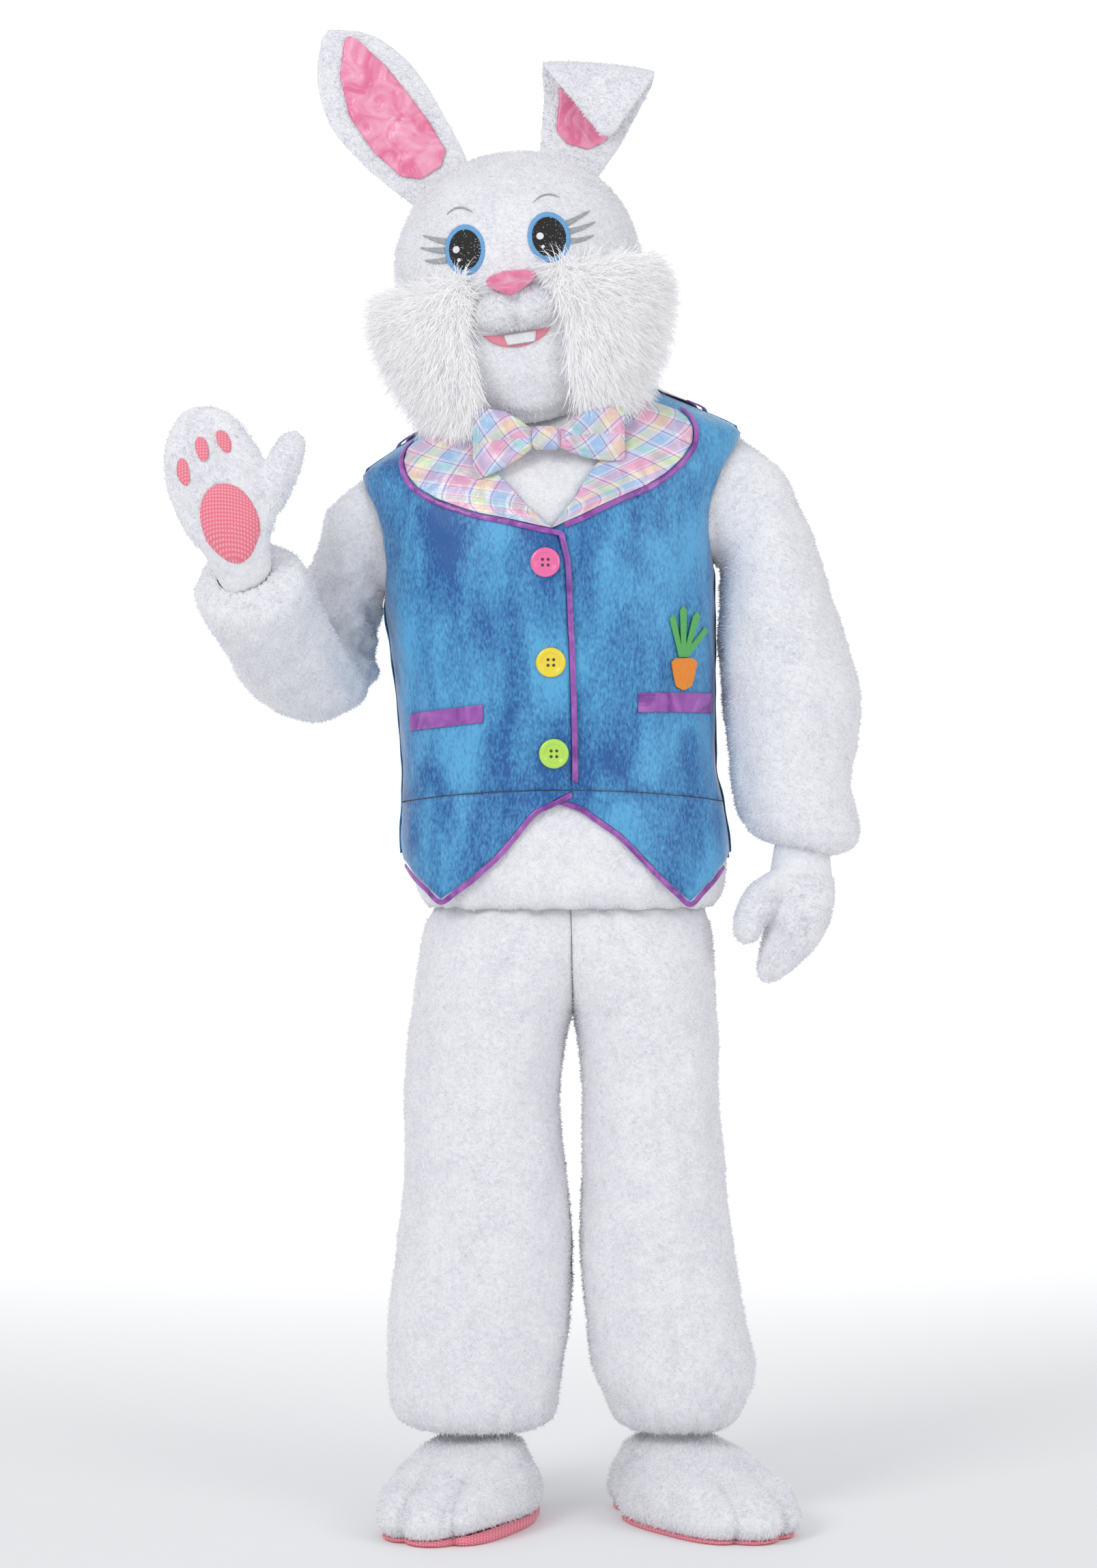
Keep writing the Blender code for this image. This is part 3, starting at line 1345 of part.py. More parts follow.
def make_bow():
    angle = np.arange(12) * 2 * pi / 12
    for name, wings in BOW_WINGS.items():
        rings = []
        for wing in wings:
            pleat = 1 - 0.28 * np.abs(np.cos(angle * 2)) * (wing.half_depth > 4)
            z = wing.z + np.sin(angle) * wing.half_height
            y = wing.y - np.cos(angle) * wing.half_depth * pleat
            rings.append(np.stack([np.full_like(angle, wing.x), y, z], -1))
        padded(f"bow_wing_{name}", capped(rings), PLAID)
    rings = []
    for level, half_width, half_depth in ((-15, 12, 5), (-11, 16, 9), (0, 18.2, 11), (11, 16, 9), (15, 12, 5)):
        x = -3.5 + np.cos(angle[::2] + 0.2) * half_width
        y = -142.5 + np.sin(angle[::2] + 0.2) * half_depth
        rings.append(np.stack([x, y, np.full_like(x, 1403 + level)], -1))
    padded("bow_knot", capped(rings), PLAID)


clear_scene()
collection = bpy.data.collections.new("Bunny costume")
bpy.context.scene.collection.children.link(collection)
cutters = bpy.data.collections.new("Cutters")
bpy.context.scene.collection.children.link(cutters)
holder = bpy.data.objects.new("wearer", None)
holder.location.z = -SHOULDER_HEIGHT * MM
collection.objects.link(holder)

make_tunic()
make_sleeves()
make_trousers()
make_shoes()
make_mask()
make_ears()
make_eyes()
make_muzzle()
make_nose()
make_mouth()
make_cheeks()
make_mitts()
make_vest()
make_lapels()
make_collar()
make_bindings()
make_pockets()
for button in BUTTONS:
    make_button(button)
make_bow()
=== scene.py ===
"""Looks of a bunny costume: plush suit, velour vest, mask with long cheek fur, mitts and shoe covers.

Sizes are millimetres above the floor that the shoes stand on; each mesh is put in metres, 1.4 m lower,
because the costume's origin is at the shoulders. X runs to the wearer's left and the front faces -Y.
"""
import json
from collections import namedtuple
from math import cos, pi, radians, sin

import bmesh
import bpy
import numpy as np
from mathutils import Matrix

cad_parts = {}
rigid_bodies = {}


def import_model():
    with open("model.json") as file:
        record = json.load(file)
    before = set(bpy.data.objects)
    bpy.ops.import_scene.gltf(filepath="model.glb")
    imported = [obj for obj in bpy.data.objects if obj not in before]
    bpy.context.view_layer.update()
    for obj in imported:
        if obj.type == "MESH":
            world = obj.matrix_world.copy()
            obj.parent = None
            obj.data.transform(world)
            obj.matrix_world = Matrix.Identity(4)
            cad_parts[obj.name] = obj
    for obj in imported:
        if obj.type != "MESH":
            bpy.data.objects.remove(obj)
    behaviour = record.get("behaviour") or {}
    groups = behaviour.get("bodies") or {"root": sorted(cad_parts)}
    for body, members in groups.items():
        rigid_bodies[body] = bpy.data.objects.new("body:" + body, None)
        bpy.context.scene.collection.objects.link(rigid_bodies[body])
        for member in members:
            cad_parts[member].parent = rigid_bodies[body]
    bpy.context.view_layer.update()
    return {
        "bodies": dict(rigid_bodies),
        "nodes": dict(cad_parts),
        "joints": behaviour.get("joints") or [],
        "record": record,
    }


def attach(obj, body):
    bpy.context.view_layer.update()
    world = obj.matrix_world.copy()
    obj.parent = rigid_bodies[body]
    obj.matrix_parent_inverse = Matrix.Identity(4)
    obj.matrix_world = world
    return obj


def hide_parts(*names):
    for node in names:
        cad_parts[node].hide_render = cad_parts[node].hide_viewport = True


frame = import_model()
scene = bpy.context.scene

# Camera, floor and light
# A level camera stands five metres in front of the costume, at the height of its middle. The floor is a
# pale sweep that rises into a wall behind, and large soft lights and a bright room fill in from all sides.

CAMERA_DISTANCE = 5.0
CAMERA_HEIGHT = -0.44
PICTURE_HEIGHT_AT_BODY = 2.0664
FLOOR = -1.4

lens = bpy.data.cameras.new("camera")
lens.sensor_fit = "VERTICAL"
lens.sensor_height = 36
lens.lens = lens.sensor_height * CAMERA_DISTANCE / PICTURE_HEIGHT_AT_BODY
camera = bpy.data.objects.new("camera", lens)
camera.location = (0, -CAMERA_DISTANCE, CAMERA_HEIGHT)
camera.rotation_euler = (radians(90), 0, 0)
scene.collection.objects.link(camera)
scene.camera = camera
scene.view_settings.view_transform = "Standard"


def sweep_points(half_width, front, rear, radius, height):
    """Floor that turns up into a wall: a straight run, a quarter circle, then a straight rise."""
    turn = np.linspace(0, pi / 2, 13)
    y = np.concatenate([[front], rear + radius * np.sin(turn), [rear + radius]])
    z = np.concatenate([[0.0], radius - radius * np.cos(turn), [height]]) + FLOOR
    x = np.array([-half_width, half_width])[:, None]
    return np.stack(np.broadcast_arrays(x, y, z), -1)


def plain_mesh(name, points):
    """Quads between the neighbours of a grid of points."""
    rows, columns = points.shape[:2]
    spot = np.arange(rows * columns).reshape(rows, columns)
    faces = np.stack([spot[:-1, :-1], spot[1:, :-1], spot[1:, 1:], spot[:-1, 1:]], -1).reshape(-1, 4)
    mesh = bpy.data.meshes.new(name)
    mesh.from_pydata(points.reshape(-1, 3).tolist(), [], faces.tolist())
    mesh.shade_smooth()
    return mesh


floor_points = sweep_points(half_width=12, front=-11, rear=6.5, radius=2, height=10)
sweep = bpy.data.objects.new("floor_sweep", plain_mesh("floor_sweep", floor_points))
paper = bpy.data.materials.new("pale paper")
paper.use_nodes = True
paper.node_tree.nodes["Principled BSDF"].inputs["Base Color"].default_value = (0.93, 0.93, 0.935, 1)
paper.node_tree.nodes["Principled BSDF"].inputs["Roughness"].default_value = 0.9
sweep.data.materials.append(paper)
scene.collection.objects.link(sweep)

room = bpy.data.worlds.new("bright room")
room.use_nodes = True
room.node_tree.nodes["Background"].inputs["Color"].default_value = (0.96, 0.98, 1, 1)
room.node_tree.nodes["Background"].inputs["Strength"].default_value = 0.62
scene.world = room

Lamp = namedtuple("Lamp", "name place aim width power")
LAMPS = [
    Lamp("key", (-2.6, -3.4, 1.9), (0, 0, -0.3), 1.8, 66),
    Lamp("fill", (3.0, -3.0, 0.9), (0, 0, -0.5), 2.2, 34),
    Lamp("wall_wash", (0, 3.6, 3.4), (0, 7.8, 0), 4.0, 190),
]
for lamp in LAMPS:
    light = bpy.data.lights.new(lamp.name, "AREA")
    light.shape = "SQUARE"
    light.size = lamp.width
    light.energy = lamp.power
    place = bpy.data.objects.new(lamp.name, light)
    place.location = lamp.place
    way = np.array(lamp.aim, float) - lamp.place
    place.rotation_euler = (np.arctan2(np.hypot(way[0], way[1]), -way[2]), 0, np.arctan2(-way[0], way[1]))
    scene.collection.objects.link(place)


# Shared functions
# A grid is rows of points in millimetres. Curves, noise and normals come first, then the meshes and pieces
# made of grids, and then the shader parts that several materials use.

WALL = 2.0


def unit(vector):
    """A vector shortened or stretched to length one."""
    vector = np.asarray(vector, float)
    return vector / np.maximum(np.linalg.norm(vector, axis=-1, keepdims=True), 1e-9)


def ease(low, high, at):
    """Rises from 0 at low to 1 at high along 3t^2 - 2t^3."""
    part = np.clip((np.asarray(at, float) - low) / (high - low), 0, 1)
    return part * part * (3 - 2 * part)


def power_of(value, exponent):
    """The size of a value raised to a power, with the value's own sign."""
    return np.sign(value) * np.abs(value) ** exponent


def through(keys, values, at):
    """Values on the cubic curve through (keys, values) whose slopes are the harmonic mean of both sides."""
    keys, values, at = (np.asarray(item, float) for item in (keys, values, at))
    run = np.diff(keys)
    rise = np.diff(values) / run
    slope = np.zeros_like(values)
    slope[0], slope[-1] = rise[0], rise[-1]
    product = rise[:-1] * rise[1:]
    same = product > 0
    slope[1:-1] = np.where(same, 2 * product / np.where(same, rise[:-1] + rise[1:], 1), 0)
    spot = np.clip(np.searchsorted(keys, at) - 1, 0, len(run) - 1)
    part = np.clip((at - keys[spot]) / run[spot], 0, 1)
    pull_start, pull_end = slope[spot] * run[spot], slope[spot + 1] * run[spot]
    return (
        values[spot] * (1 + 2 * part) * (1 - part) ** 2
        + pull_start * part * (1 - part) ** 2
        + values[spot + 1] * part**2 * (3 - 2 * part)
        + pull_end * part**2 * (part - 1)
    )


def column(table, name):
    """One column of a table of named rows."""
    return [getattr(row, name) for row in table]


def level_value(table, name, level):
    """A column of a table on a smooth curve over its levels."""
    return through(column(table, "level"), column(table, name), level)


def values_along(table, where, *names):
    """Columns of a table, read between its rows; where counts rows from 0."""
    return [np.interp(where, np.arange(len(table)), column(table, name)) for name in names]


def points_along(points, where):
    """Points on the straight lines between rows of points; where counts rows from 0."""
    return np.stack([np.interp(where, np.arange(len(points)), points[:, axis]) for axis in range(3)], -1)


def round_turns(count):
    """Angles of evenly spaced spots round a circle."""
    return np.arange(count) * 2 * pi / count


def same_shape(*items):
    """Numbers and arrays brought to one shape."""
    return np.broadcast_arrays(*(np.asarray(item, float) for item in items))


def ripple(points, length, seed):
    """Smooth noise of about -1 to 1: twelve sine waves in random directions, each about length mm long."""
    waves = 12
    rng = np.random.default_rng(seed)
    ways = unit(rng.normal(size=(waves, 3))) * (2 * pi / length) * rng.uniform(0.6, 1.6, (waves, 1))
    return np.sin(points @ ways.T + rng.uniform(0, 2 * pi, waves)).sum(-1) / 3.5


def outward(grid, around=False):
    """Unit normals of a grid of points, from the cross product of its two directions."""
    grid = np.asarray(grid, float)
    if around:
        wrapped = np.concatenate([grid[:, -2:], grid, grid[:, :2]], 1)
        across = np.gradient(wrapped, axis=1)[:, 2:-2]
    else:
        across = np.gradient(grid, axis=1)
    return unit(np.cross(across, np.gradient(grid, axis=0)))


def puffed(grid, amount, around=False):
    """A grid moved along its normals by an amount for each of its points."""
    return grid + outward(grid, around) * np.asarray(amount)[..., None]


MERGE_DISTANCE = 0.00002


def surface_mesh(name, grid, around=False, turned=False, closed=False):
    """Quads over a grid of points in mm, with a UV map of metres along its rows and columns."""
    grid = np.asarray(grid, float)
    rows, columns = grid.shape[:2]
    points = grid / 1000 + [0, 0, FLOOR]
    steps = columns if around else columns - 1
    row, spot = (item.ravel() for item in np.meshgrid(np.arange(rows - 1), np.arange(steps), indexing="ij"))
    after = (spot + 1) % columns
    corner_rows = np.stack([row, row, row + 1, row + 1], -1)
    corner_spots = np.stack([spot, after, after, spot], -1)
    corner_steps = np.stack([spot, spot + 1, spot + 1, spot], -1)
    if turned:
        corner_rows, corner_spots, corner_steps = (
            item[:, ::-1] for item in (corner_rows, corner_spots, corner_steps)
        )
    looped = np.concatenate([points, points[:, :1]], 1)
    across = np.linalg.norm(np.diff(looped, axis=1), axis=-1).mean(0)
    along = np.linalg.norm(np.diff(points, axis=0), axis=-1).mean(1)
    u, v = np.concatenate([[0], np.cumsum(across)]), np.concatenate([[0], np.cumsum(along)])
    mesh = bpy.data.meshes.new(name)
    mesh.from_pydata(points.reshape(-1, 3).tolist(), [], (corner_rows * columns + corner_spots).tolist())
    layer = mesh.uv_layers.new(name="cloth")
    layer.data.foreach_set("uv", np.stack([u[corner_steps], v[corner_rows]], -1).ravel())
    if closed:
        shape = bmesh.new()
        shape.from_mesh(mesh)
        bmesh.ops.remove_doubles(shape, verts=shape.verts, dist=MERGE_DISTANCE)
        bmesh.ops.dissolve_degenerate(shape, edges=shape.edges, dist=MERGE_DISTANCE / 2)
        bmesh.ops.recalc_face_normals(shape, faces=shape.faces)
        shape.to_mesh(mesh)
        shape.free()
    mesh.shade_smooth()
    return mesh


def piece(name, mesh, material, slot, *nodes):
    """An object that rides on the costume and stands for its nodes."""
    item = bpy.data.objects.new(name, mesh)
    mesh.materials.append(material)
    scene.collection.objects.link(item)
    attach(item, "root")
    if nodes:
        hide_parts(*nodes)
    return item


def closed_piece(name, grid, material, slot, *nodes):
    """A piece whose grid runs round it, from a pole in its first row to a pole in its last."""
    return piece(name, surface_mesh(name, grid, around=True, closed=True), material, slot, *nodes)


def add_wall(item, thickness):
    """Cloth of a thickness in mm on the inner side of a piece's surface."""
    wall = item.modifiers.new("Wall", "SOLIDIFY")
    wall.thickness = thickness / 1000
    wall.offset = -1


def cloth(name, grid, material, slot, node, thickness=WALL, around=False, turned=False):
    """A wall of cloth that lies inside its grid. Its flat cut is the grid's own."""
    item = piece(name, surface_mesh(name, grid, around, turned), material, slot, node)
    add_wall(item, thickness)
    return item


def add_socket(group, name, kind, way, value=None):
    """An input or output of a node group."""
    made = group.interface.new_socket(name, in_out=way, socket_type=kind)
    if value is not None:
        made.default_value = value
    return made


def mix_colours(tree, factor, first, second, mode="MIX"):
    """A colour mix; each of its three inputs is a socket or a plain value."""
    node = tree.nodes.new("ShaderNodeMix")
    node.data_type = "RGBA"
    node.blend_type = mode
    for socket, value in ((node.inputs[0], factor), (node.inputs[6], first), (node.inputs[7], second)):
        if isinstance(value, bpy.types.NodeSocket):
            tree.links.new(value, socket)
        else:
            socket.default_value = value
    return node.outputs[2]


def colour_between(tree, shader, factor, deep, light):
    """Colours a shader between a deep and a light tone."""
    tree.links.new(mix_colours(tree, factor, deep, light), shader.inputs["Base Color"])


def calculate(tree, operation, first, second=0.0):
    """One arithmetic step between two sockets or numbers."""
    node = tree.nodes.new("ShaderNodeMath")
    node.operation = operation
    for socket, value in zip(node.inputs, (first, second)):
        if isinstance(value, bpy.types.NodeSocket):
            tree.links.new(value, socket)
        else:
            socket.default_value = value
    return node.outputs[0]


def noise(tree, place, scale, detail, distortion=0.0):
    """Cloudy noise from 0 to 1; the scale is how many clouds lie along a metre."""
    node = tree.nodes.new("ShaderNodeTexNoise")
    node.inputs["Scale"].default_value = scale
    node.inputs["Detail"].default_value = detail
    node.inputs["Distortion"].default_value = distortion
    tree.links.new(place, node.inputs["Vector"])
    return node.outputs["Fac"]


def spread(tree, value, low, high, bottom=0.0, top=1.0):
    """A value stretched from low-high to bottom-top, and held there."""
    node = tree.nodes.new("ShaderNodeMapRange")
    for socket, number in zip(node.inputs[1:5], (low, high, bottom, top)):
        socket.default_value = number
    tree.links.new(value, node.inputs[0])
    return node.outputs[0]


def pile_group():
    """Tufts of a pile, as colour and height: fine tips over broad patches, with painted shade where the pile
    lies low or leans away.
    """
    group = bpy.data.node_groups.new("pile", "ShaderNodeTree")
    add_socket(group, "Place", "NodeSocketVector", "INPUT")
    add_socket(group, "Deep", "NodeSocketColor", "INPUT", (0.80, 0.78, 0.85, 1))
    add_socket(group, "Tip", "NodeSocketColor", "INPUT", (0.97, 0.95, 0.97, 1))
    add_socket(group, "Colour", "NodeSocketColor", "OUTPUT")
    add_socket(group, "Height", "NodeSocketFloat", "OUTPUT")
    start, end = group.nodes.new("NodeGroupInput"), group.nodes.new("NodeGroupOutput")
    place = start.outputs["Place"]
    tips = noise(group, place, scale=620, detail=3, distortion=0.4)
    tufts = noise(group, place, scale=150, detail=3, distortion=0.8)
    patches = noise(group, place, scale=22, detail=3, distortion=0.6)
    together = calculate(group, "MULTIPLY", tips, 0.45)
    for clouds, share in ((tufts, 0.4), (patches, 0.25)):
        together = calculate(group, "ADD", together, calculate(group, "MULTIPLY", clouds, share))
    risen = spread(group, together, 0.36, 0.62)
    # The colour runs from painted shade in low and leaning pile to the light tips.
    colour = mix_colours(group, risen, start.outputs["Deep"], start.outputs["Tip"])
    group.links.new(colour, end.inputs["Colour"])
    group.links.new(together, end.inputs["Height"])
    return group


def new_material(name, roughness, **constants):
    """A material whose shader has these constants: sheen, coat, specular and the like."""
    made = bpy.data.materials.new(name)
    made.use_nodes = True
    shader = made.node_tree.nodes["Principled BSDF"]
    shader.inputs["Roughness"].default_value = roughness
    for socket, value in constants.items():
        shader.inputs[socket.replace("_", " ")].default_value = value
    return made, made.node_tree, shader


def object_place(tree):
    """A point's own place in metres."""
    return tree.nodes.new("ShaderNodeTexCoord").outputs["Object"]


def cloth_place(tree, angle):
    """The piece's own UV map in metres, turned by an angle in degrees."""
    found = tree.nodes.new("ShaderNodeTexCoord").outputs["UV"]
    turned = tree.nodes.new("ShaderNodeMapping")
    turned.inputs["Rotation"].default_value = (0, 0, radians(angle))
    tree.links.new(found, turned.inputs["Vector"])
    return turned.outputs["Vector"]


def use_group(tree, group, place, **values):
    """A node group in a material, with these values at its inputs."""
    node = tree.nodes.new("ShaderNodeGroup")
    node.node_tree = group
    tree.links.new(place, node.inputs["Place"])
    for socket, value in values.items():
        node.inputs[socket].default_value = value
    return node


def add_bump(tree, shader, height, strength, distance):
    """Relief for a shader; a height of 1 stands this distance in metres above 0."""
    bump = tree.nodes.new("ShaderNodeBump")
    bump.inputs["Strength"].default_value = strength
    bump.inputs["Distance"].default_value = distance
    tree.links.new(height, bump.inputs["Height"])
    tree.links.new(bump.outputs["Normal"], shader.inputs["Normal"])


# White plush, the cloth of the suit

pile = pile_group()
plush, tree, shader = new_material("white plush", roughness=0.95, Sheen_Weight=0.5, Sheen_Roughness=0.55)
# The lilac grey is painted shade in the pile's hollows and leaning patches; the tip colour is the plush's
# white.
tufts = use_group(tree, pile, object_place(tree), Deep=(0.70, 0.70, 0.78, 1), Tip=(0.93, 0.93, 0.955, 1))
tree.links.new(tufts.outputs["Colour"], shader.inputs["Base Color"])
add_bump(tree, shader, tufts.outputs["Height"], strength=0.55, distance=0.004)


# Tunic
# The body of the suit is white short-pile plush, a front and a back sewn at the sides and shoulders. Both
# are cut to hang straight, and an elastic in the hem draws the plush into small gathers.

Ring = namedtuple("Ring", "level middle half_width back half_depth")
TORSO = [
    Ring(799, 28, 185, 0, 128),
    Ring(817, 28, 198, 0, 139),
    Ring(845, 26, 206, 0, 143),
    Ring(880, 22, 210, 0, 143),
    Ring(930, 19, 206, 0, 141),
    Ring(985, 14, 200, 0, 139),
    Ring(1055, 11, 202, 0, 142),
    Ring(1116, 8, 205, 0, 146),
    Ring(1185, 3, 209, 0, 149),
    Ring(1235, 0, 212, 0, 150),
    Ring(1290, -2, 219, 2, 149),
    Ring(1340, 0, 233, 5, 142),
    Ring(1375, 2, 243, 8, 131),
    Ring(1392, 4, 244, 9, 124),
    Ring(1410, 5, 219, 10, 116),
    Ring(1430, 5, 183, 10, 108),
    Ring(1455, 3, 140, 10, 98),
    Ring(1478, -2, 106, 10, 88),
    Ring(1492, -6, 93, 10, 83),
    Ring(1512, -10, 87, 10, 80),
]
HANG = [Ring(799, 25, 208, 0, 145), Ring(845, 25, 209, 0, 145), *TORSO[3:]]
SQUARENESS = 2.4

Fold = namedtuple("Fold", "turn low high width depth")
FOLDS = [
    Fold(-58, 960, 1150, 9, 3.0),
    Fold(-33, 1000, 1230, 8, 2.5),
    Fold(22, 950, 1120, 8, 2.5),
    Fold(48, 980, 1220, 9, 3.0),
    Fold(68, 950, 1130, 8, 3.0),
    Fold(-76, 1080, 1240, 9, 3.0),
    Fold(122, 960, 1180, 10, 3.0),
    Fold(160, 950, 1160, 11, 3.5),
    Fold(205, 960, 1200, 11, 3.5),
    Fold(240, 950, 1140, 10, 3.0),
]
SHOULDER_TILT = 0.118
SEAM = 0.35
NECK_TOP = 1512.0


def fold_depth(folds, turn, level):
    """How deep the folds press in: each fades along its height and to both sides."""
    depth = np.zeros(np.broadcast(turn, level).shape)
    for fold in folds:
        across = (turn - fold.turn + 180) % 360 - 180
        middle, half = (fold.low + fold.high) / 2, (fold.high - fold.low) / 2
        along = np.clip(1 - ((level - middle) / half) ** 2, 0, 1)
        depth = depth + fold.depth * along * np.exp(-((across / fold.width) ** 2))
    return depth


def bare_torso(turn, level, table):
    """Point of the body itself, without any lift."""
    angle = np.radians(turn)
    inset = fold_depth(FOLDS, turn, level)
    side = power_of(np.sin(angle), 2 / SQUARENESS) * (level_value(table, "half_width", level) - inset)
    front = power_of(np.cos(angle), 2 / SQUARENESS) * (level_value(table, "half_depth", level) - inset)
    tilt = SHOULDER_TILT * ease(950, 1300, level)
    x = level_value(table, "middle", level) + side
    return np.stack([x, level_value(table, "back", level) - front, level + tilt * side], -1)


def torso(turn, level, lift=0.0, table=TORSO):
    """Point at a turn in degrees from the front, towards the wearer's left, and at a level of the body."""
    turn, level, lift = same_shape(turn, level, lift)
    nudge = 0.5
    across = bare_torso(turn + nudge, level, table) - bare_torso(turn - nudge, level, table)
    up = bare_torso(turn, level + nudge, table) - bare_torso(turn, level - nudge, table)
    return bare_torso(turn, level, table) + lift[..., None] * unit(np.cross(across, up))


def turn_at(level, x, table=TORSO):
    """Turn on the front where the body reaches x."""
    level = np.asarray(level, float)
    away = np.asarray(x, float) - level_value(table, "middle", level)
    part = away / level_value(table, "half_width", level)
    return np.degrees(np.arcsin(np.clip(power_of(part, SQUARENESS / 2), -1, 1)))


Edge = namedtuple("Edge", "level turn")
ARMHOLE = [
    Edge(1235, 90),
    Edge(1252, 77),
    Edge(1280, 71.5),
    Edge(1313, 69.5),
    Edge(1345, 71),
    Edge(1370, 76),
    Edge(1392, 90),
]
VEST_ARMHOLE = [
    Edge(1214, 90),
    Edge(1235, 78),
    Edge(1252, 73),
    Edge(1280, 69),
    Edge(1313, 67.5),
    Edge(1345, 68.5),
    Edge(1370, 73.5),
    Edge(1392, 85),
    Edge(1397, 90),
]


def armhole_turn(table, level):
    """Turn of a panel's side edge: 90 degrees, or less where the armhole cuts in."""
    inside = (level > table[0].level) & (level < table[-1].level)
    return np.where(inside, level_value(table, "turn", level), 90.0)


def half_panel(levels, first_turn, last_turn, columns):
    """Turns of a panel's grid, with a row for each level."""
    share = np.linspace(0, 1, columns)
    first_turn, last_turn = np.asarray(first_turn)[:, None], np.asarray(last_turn)[:, None]
    return first_turn * (1 - share) + last_turn * share, levels[:, None]


GATHERS_LOW = 803.0
GATHERS_HIGH = 875.0


def gather(turn, level):
    """Waves that an elastic draws into the plush above the hem: two cosines of the turn, fading upwards."""
    angle = np.radians(turn)
    waves = 2.4 * np.cos(angle * 27 + 2 * np.sin(angle * 5)) + 1.6 * np.cos(angle * 11 + 1)
    return waves * (1 - ease(GATHERS_LOW, GATHERS_HIGH, level))


def fine(first, last, step):
    """Even levels from first to last, about a step apart."""
    return np.linspace(first, last, max(2, int(round(abs(last - first) / step)) + 1))


FUZZ_SHARE = 0.4
TIP_WIDTH = 1.3
TIP_ROOT = 0.4
TIP_LEAN = 0.55
TIP_SAG = 0.25

fibres, tree, shader = new_material("white pile tips", roughness=1.0, Sheen_Weight=0.3)
patches = spread(tree, noise(tree, object_place(tree), scale=30, detail=2), 0.35, 0.65)
colour_between(tree, shader, patches, (0.86, 0.86, 0.91, 1), (0.95, 0.95, 0.97, 1))


def tips_on(name, grid, count, length, seed, around=False, turned=False):
    """Short tips of pile: thin triangles that stand on random cells of a grid and lean at random."""
    count = int(count * FUZZ_SHARE)
    rng = np.random.default_rng(seed)
    grid = np.asarray(grid, float)
    normal = outward(grid, around) * (-1 if turned else 1)
    columns = grid.shape[1]
    last = columns if around else columns - 1
    row, spot = rng.integers(0, grid.shape[0] - 1, count * 3), rng.integers(0, last, count * 3)
    after = (spot + 1) % columns
    across, along = grid[row, after] - grid[row, spot], grid[row + 1, spot] - grid[row, spot]
    size = np.linalg.norm(np.cross(across, along), axis=-1)
    chosen = np.flatnonzero(rng.uniform(0, 1, count * 3) < size / np.percentile(size, 97))[:count]
    row, spot, after = row[chosen], spot[chosen], after[chosen]
    u, v = rng.uniform(0, 1, (2, len(chosen), 1))
    root = (grid[row, spot] * (1 - u) + grid[row, after] * u) * (1 - v)
    root = root + (grid[row + 1, spot] * (1 - u) + grid[row + 1, after] * u) * v
    up = normal[row, spot]
    lean = unit(up + rng.normal(0, TIP_LEAN, up.shape) + [0, 0, -TIP_SAG])
    side = unit(np.cross(lean, rng.normal(0, 1, up.shape)))
    tip = root + lean * length * rng.uniform(0.55, 1.15, (len(chosen), 1))
    root = root - up * TIP_ROOT
    corners = np.stack([root - side * TIP_WIDTH / 2, root + side * TIP_WIDTH / 2, tip], 1)
    mesh = bpy.data.meshes.new(name)
    points = corners.reshape(-1, 3) / 1000 + [0, 0, FLOOR]
    mesh.from_pydata(points.tolist(), [], np.arange(len(points)).reshape(-1, 3).tolist())
    return piece(name, mesh, fibres, "plush_white")


TUNIC_COLUMNS = 96
TUNIC_ROWS_BELOW_VEST = 24

tunic_levels = np.concatenate([fine(799, 1235, 7)[:-1], fine(1235, 1392, 5), fine(1396, NECK_TOP, 5)])
reach = armhole_turn(ARMHOLE, tunic_levels)
for name, start, end, shift in (
    ("tunic_front", -reach, reach, -SEAM),
    ("tunic_back", 180 - reach, 180 + reach, SEAM),
):
    turns, levels = half_panel(tunic_levels, start, end, TUNIC_COLUMNS)
    grid = torso(turns, levels, gather(turns, levels)) + [0, shift, 0]
    grid = puffed(grid, 0.8 * ripple(grid, length=60, seed=3))
    cloth(name, grid, plush, "plush_white", name)
    tips_on(f"{name}_pile", grid[:TUNIC_ROWS_BELOW_VEST], count=9000, length=4.5, seed=11)


# Sleeves
# Each sleeve is a wide plush tube set into the armhole. It hangs full over the arm and an elastic in its
# end pulls it in around the wrist. The right one is bent at the elbow, with creases inside the bend.

def armhole_loop(side):
    """The sleeve's first ring, just inside the armhole: from its top down the front and up the back."""
    levels = np.array(column(ARMHOLE, "level"), float)
    turns = np.array(column(ARMHOLE, "turn"), float) * side
    front = torso(turns, levels) + [0, -SEAM, 0]
    back = torso(np.sign(side) * 180 - turns, levels) + [0, SEAM, 0]
    top = (front[-1] + back[-1]) / 2
    bottom = (front[0] + back[0]) / 2
    loop = np.concatenate([top[None], front[-2:0:-1], bottom[None], back[1:-1]])
    middle = loop.mean(0)
    outward = unit(loop - middle)
    return loop - outward * 0.7


Section = namedtuple("Section", "outer_x outer_z inner_x inner_z y half_depth")
LEFT_SLEEVE = [
    Section(262, 1411, 217, 1254, 6, 66),
    Section(310, 1368, 227, 1243, 3, 70),
    Section(333, 1320, 228, 1225, 0, 74),
    Section(352, 1268, 227, 1196, -3, 76),
    Section(373, 1208, 224, 1152, -6, 78),
    Section(405, 1100, 229, 1066, -12, 82),
    Section(410, 1058, 233, 1030, -14, 80),
    Section(403, 1008, 238, 992, -17, 76),
    Section(398, 958, 243, 950, -20, 73),
    Section(405, 918, 250, 922, -24, 70),
    Section(408, 893, 262, 903, -27, 66),
    Section(396, 874, 280, 889, -29, 55),
    Section(370, 868, 295, 882, -30, 39),
]
RIGHT_SLEEVE = [
    Section(-254, 1355, -217, 1212, 6, 66),
    Section(-290, 1318, -225, 1203, 8, 66),
    Section(-301, 1285, -226, 1193, 12, 66),
    Section(-310, 1250, -226, 1180, 18, 64),
    Section(-322, 1214, -226, 1167, 25, 60),
]

SLEEVE_RING = 12


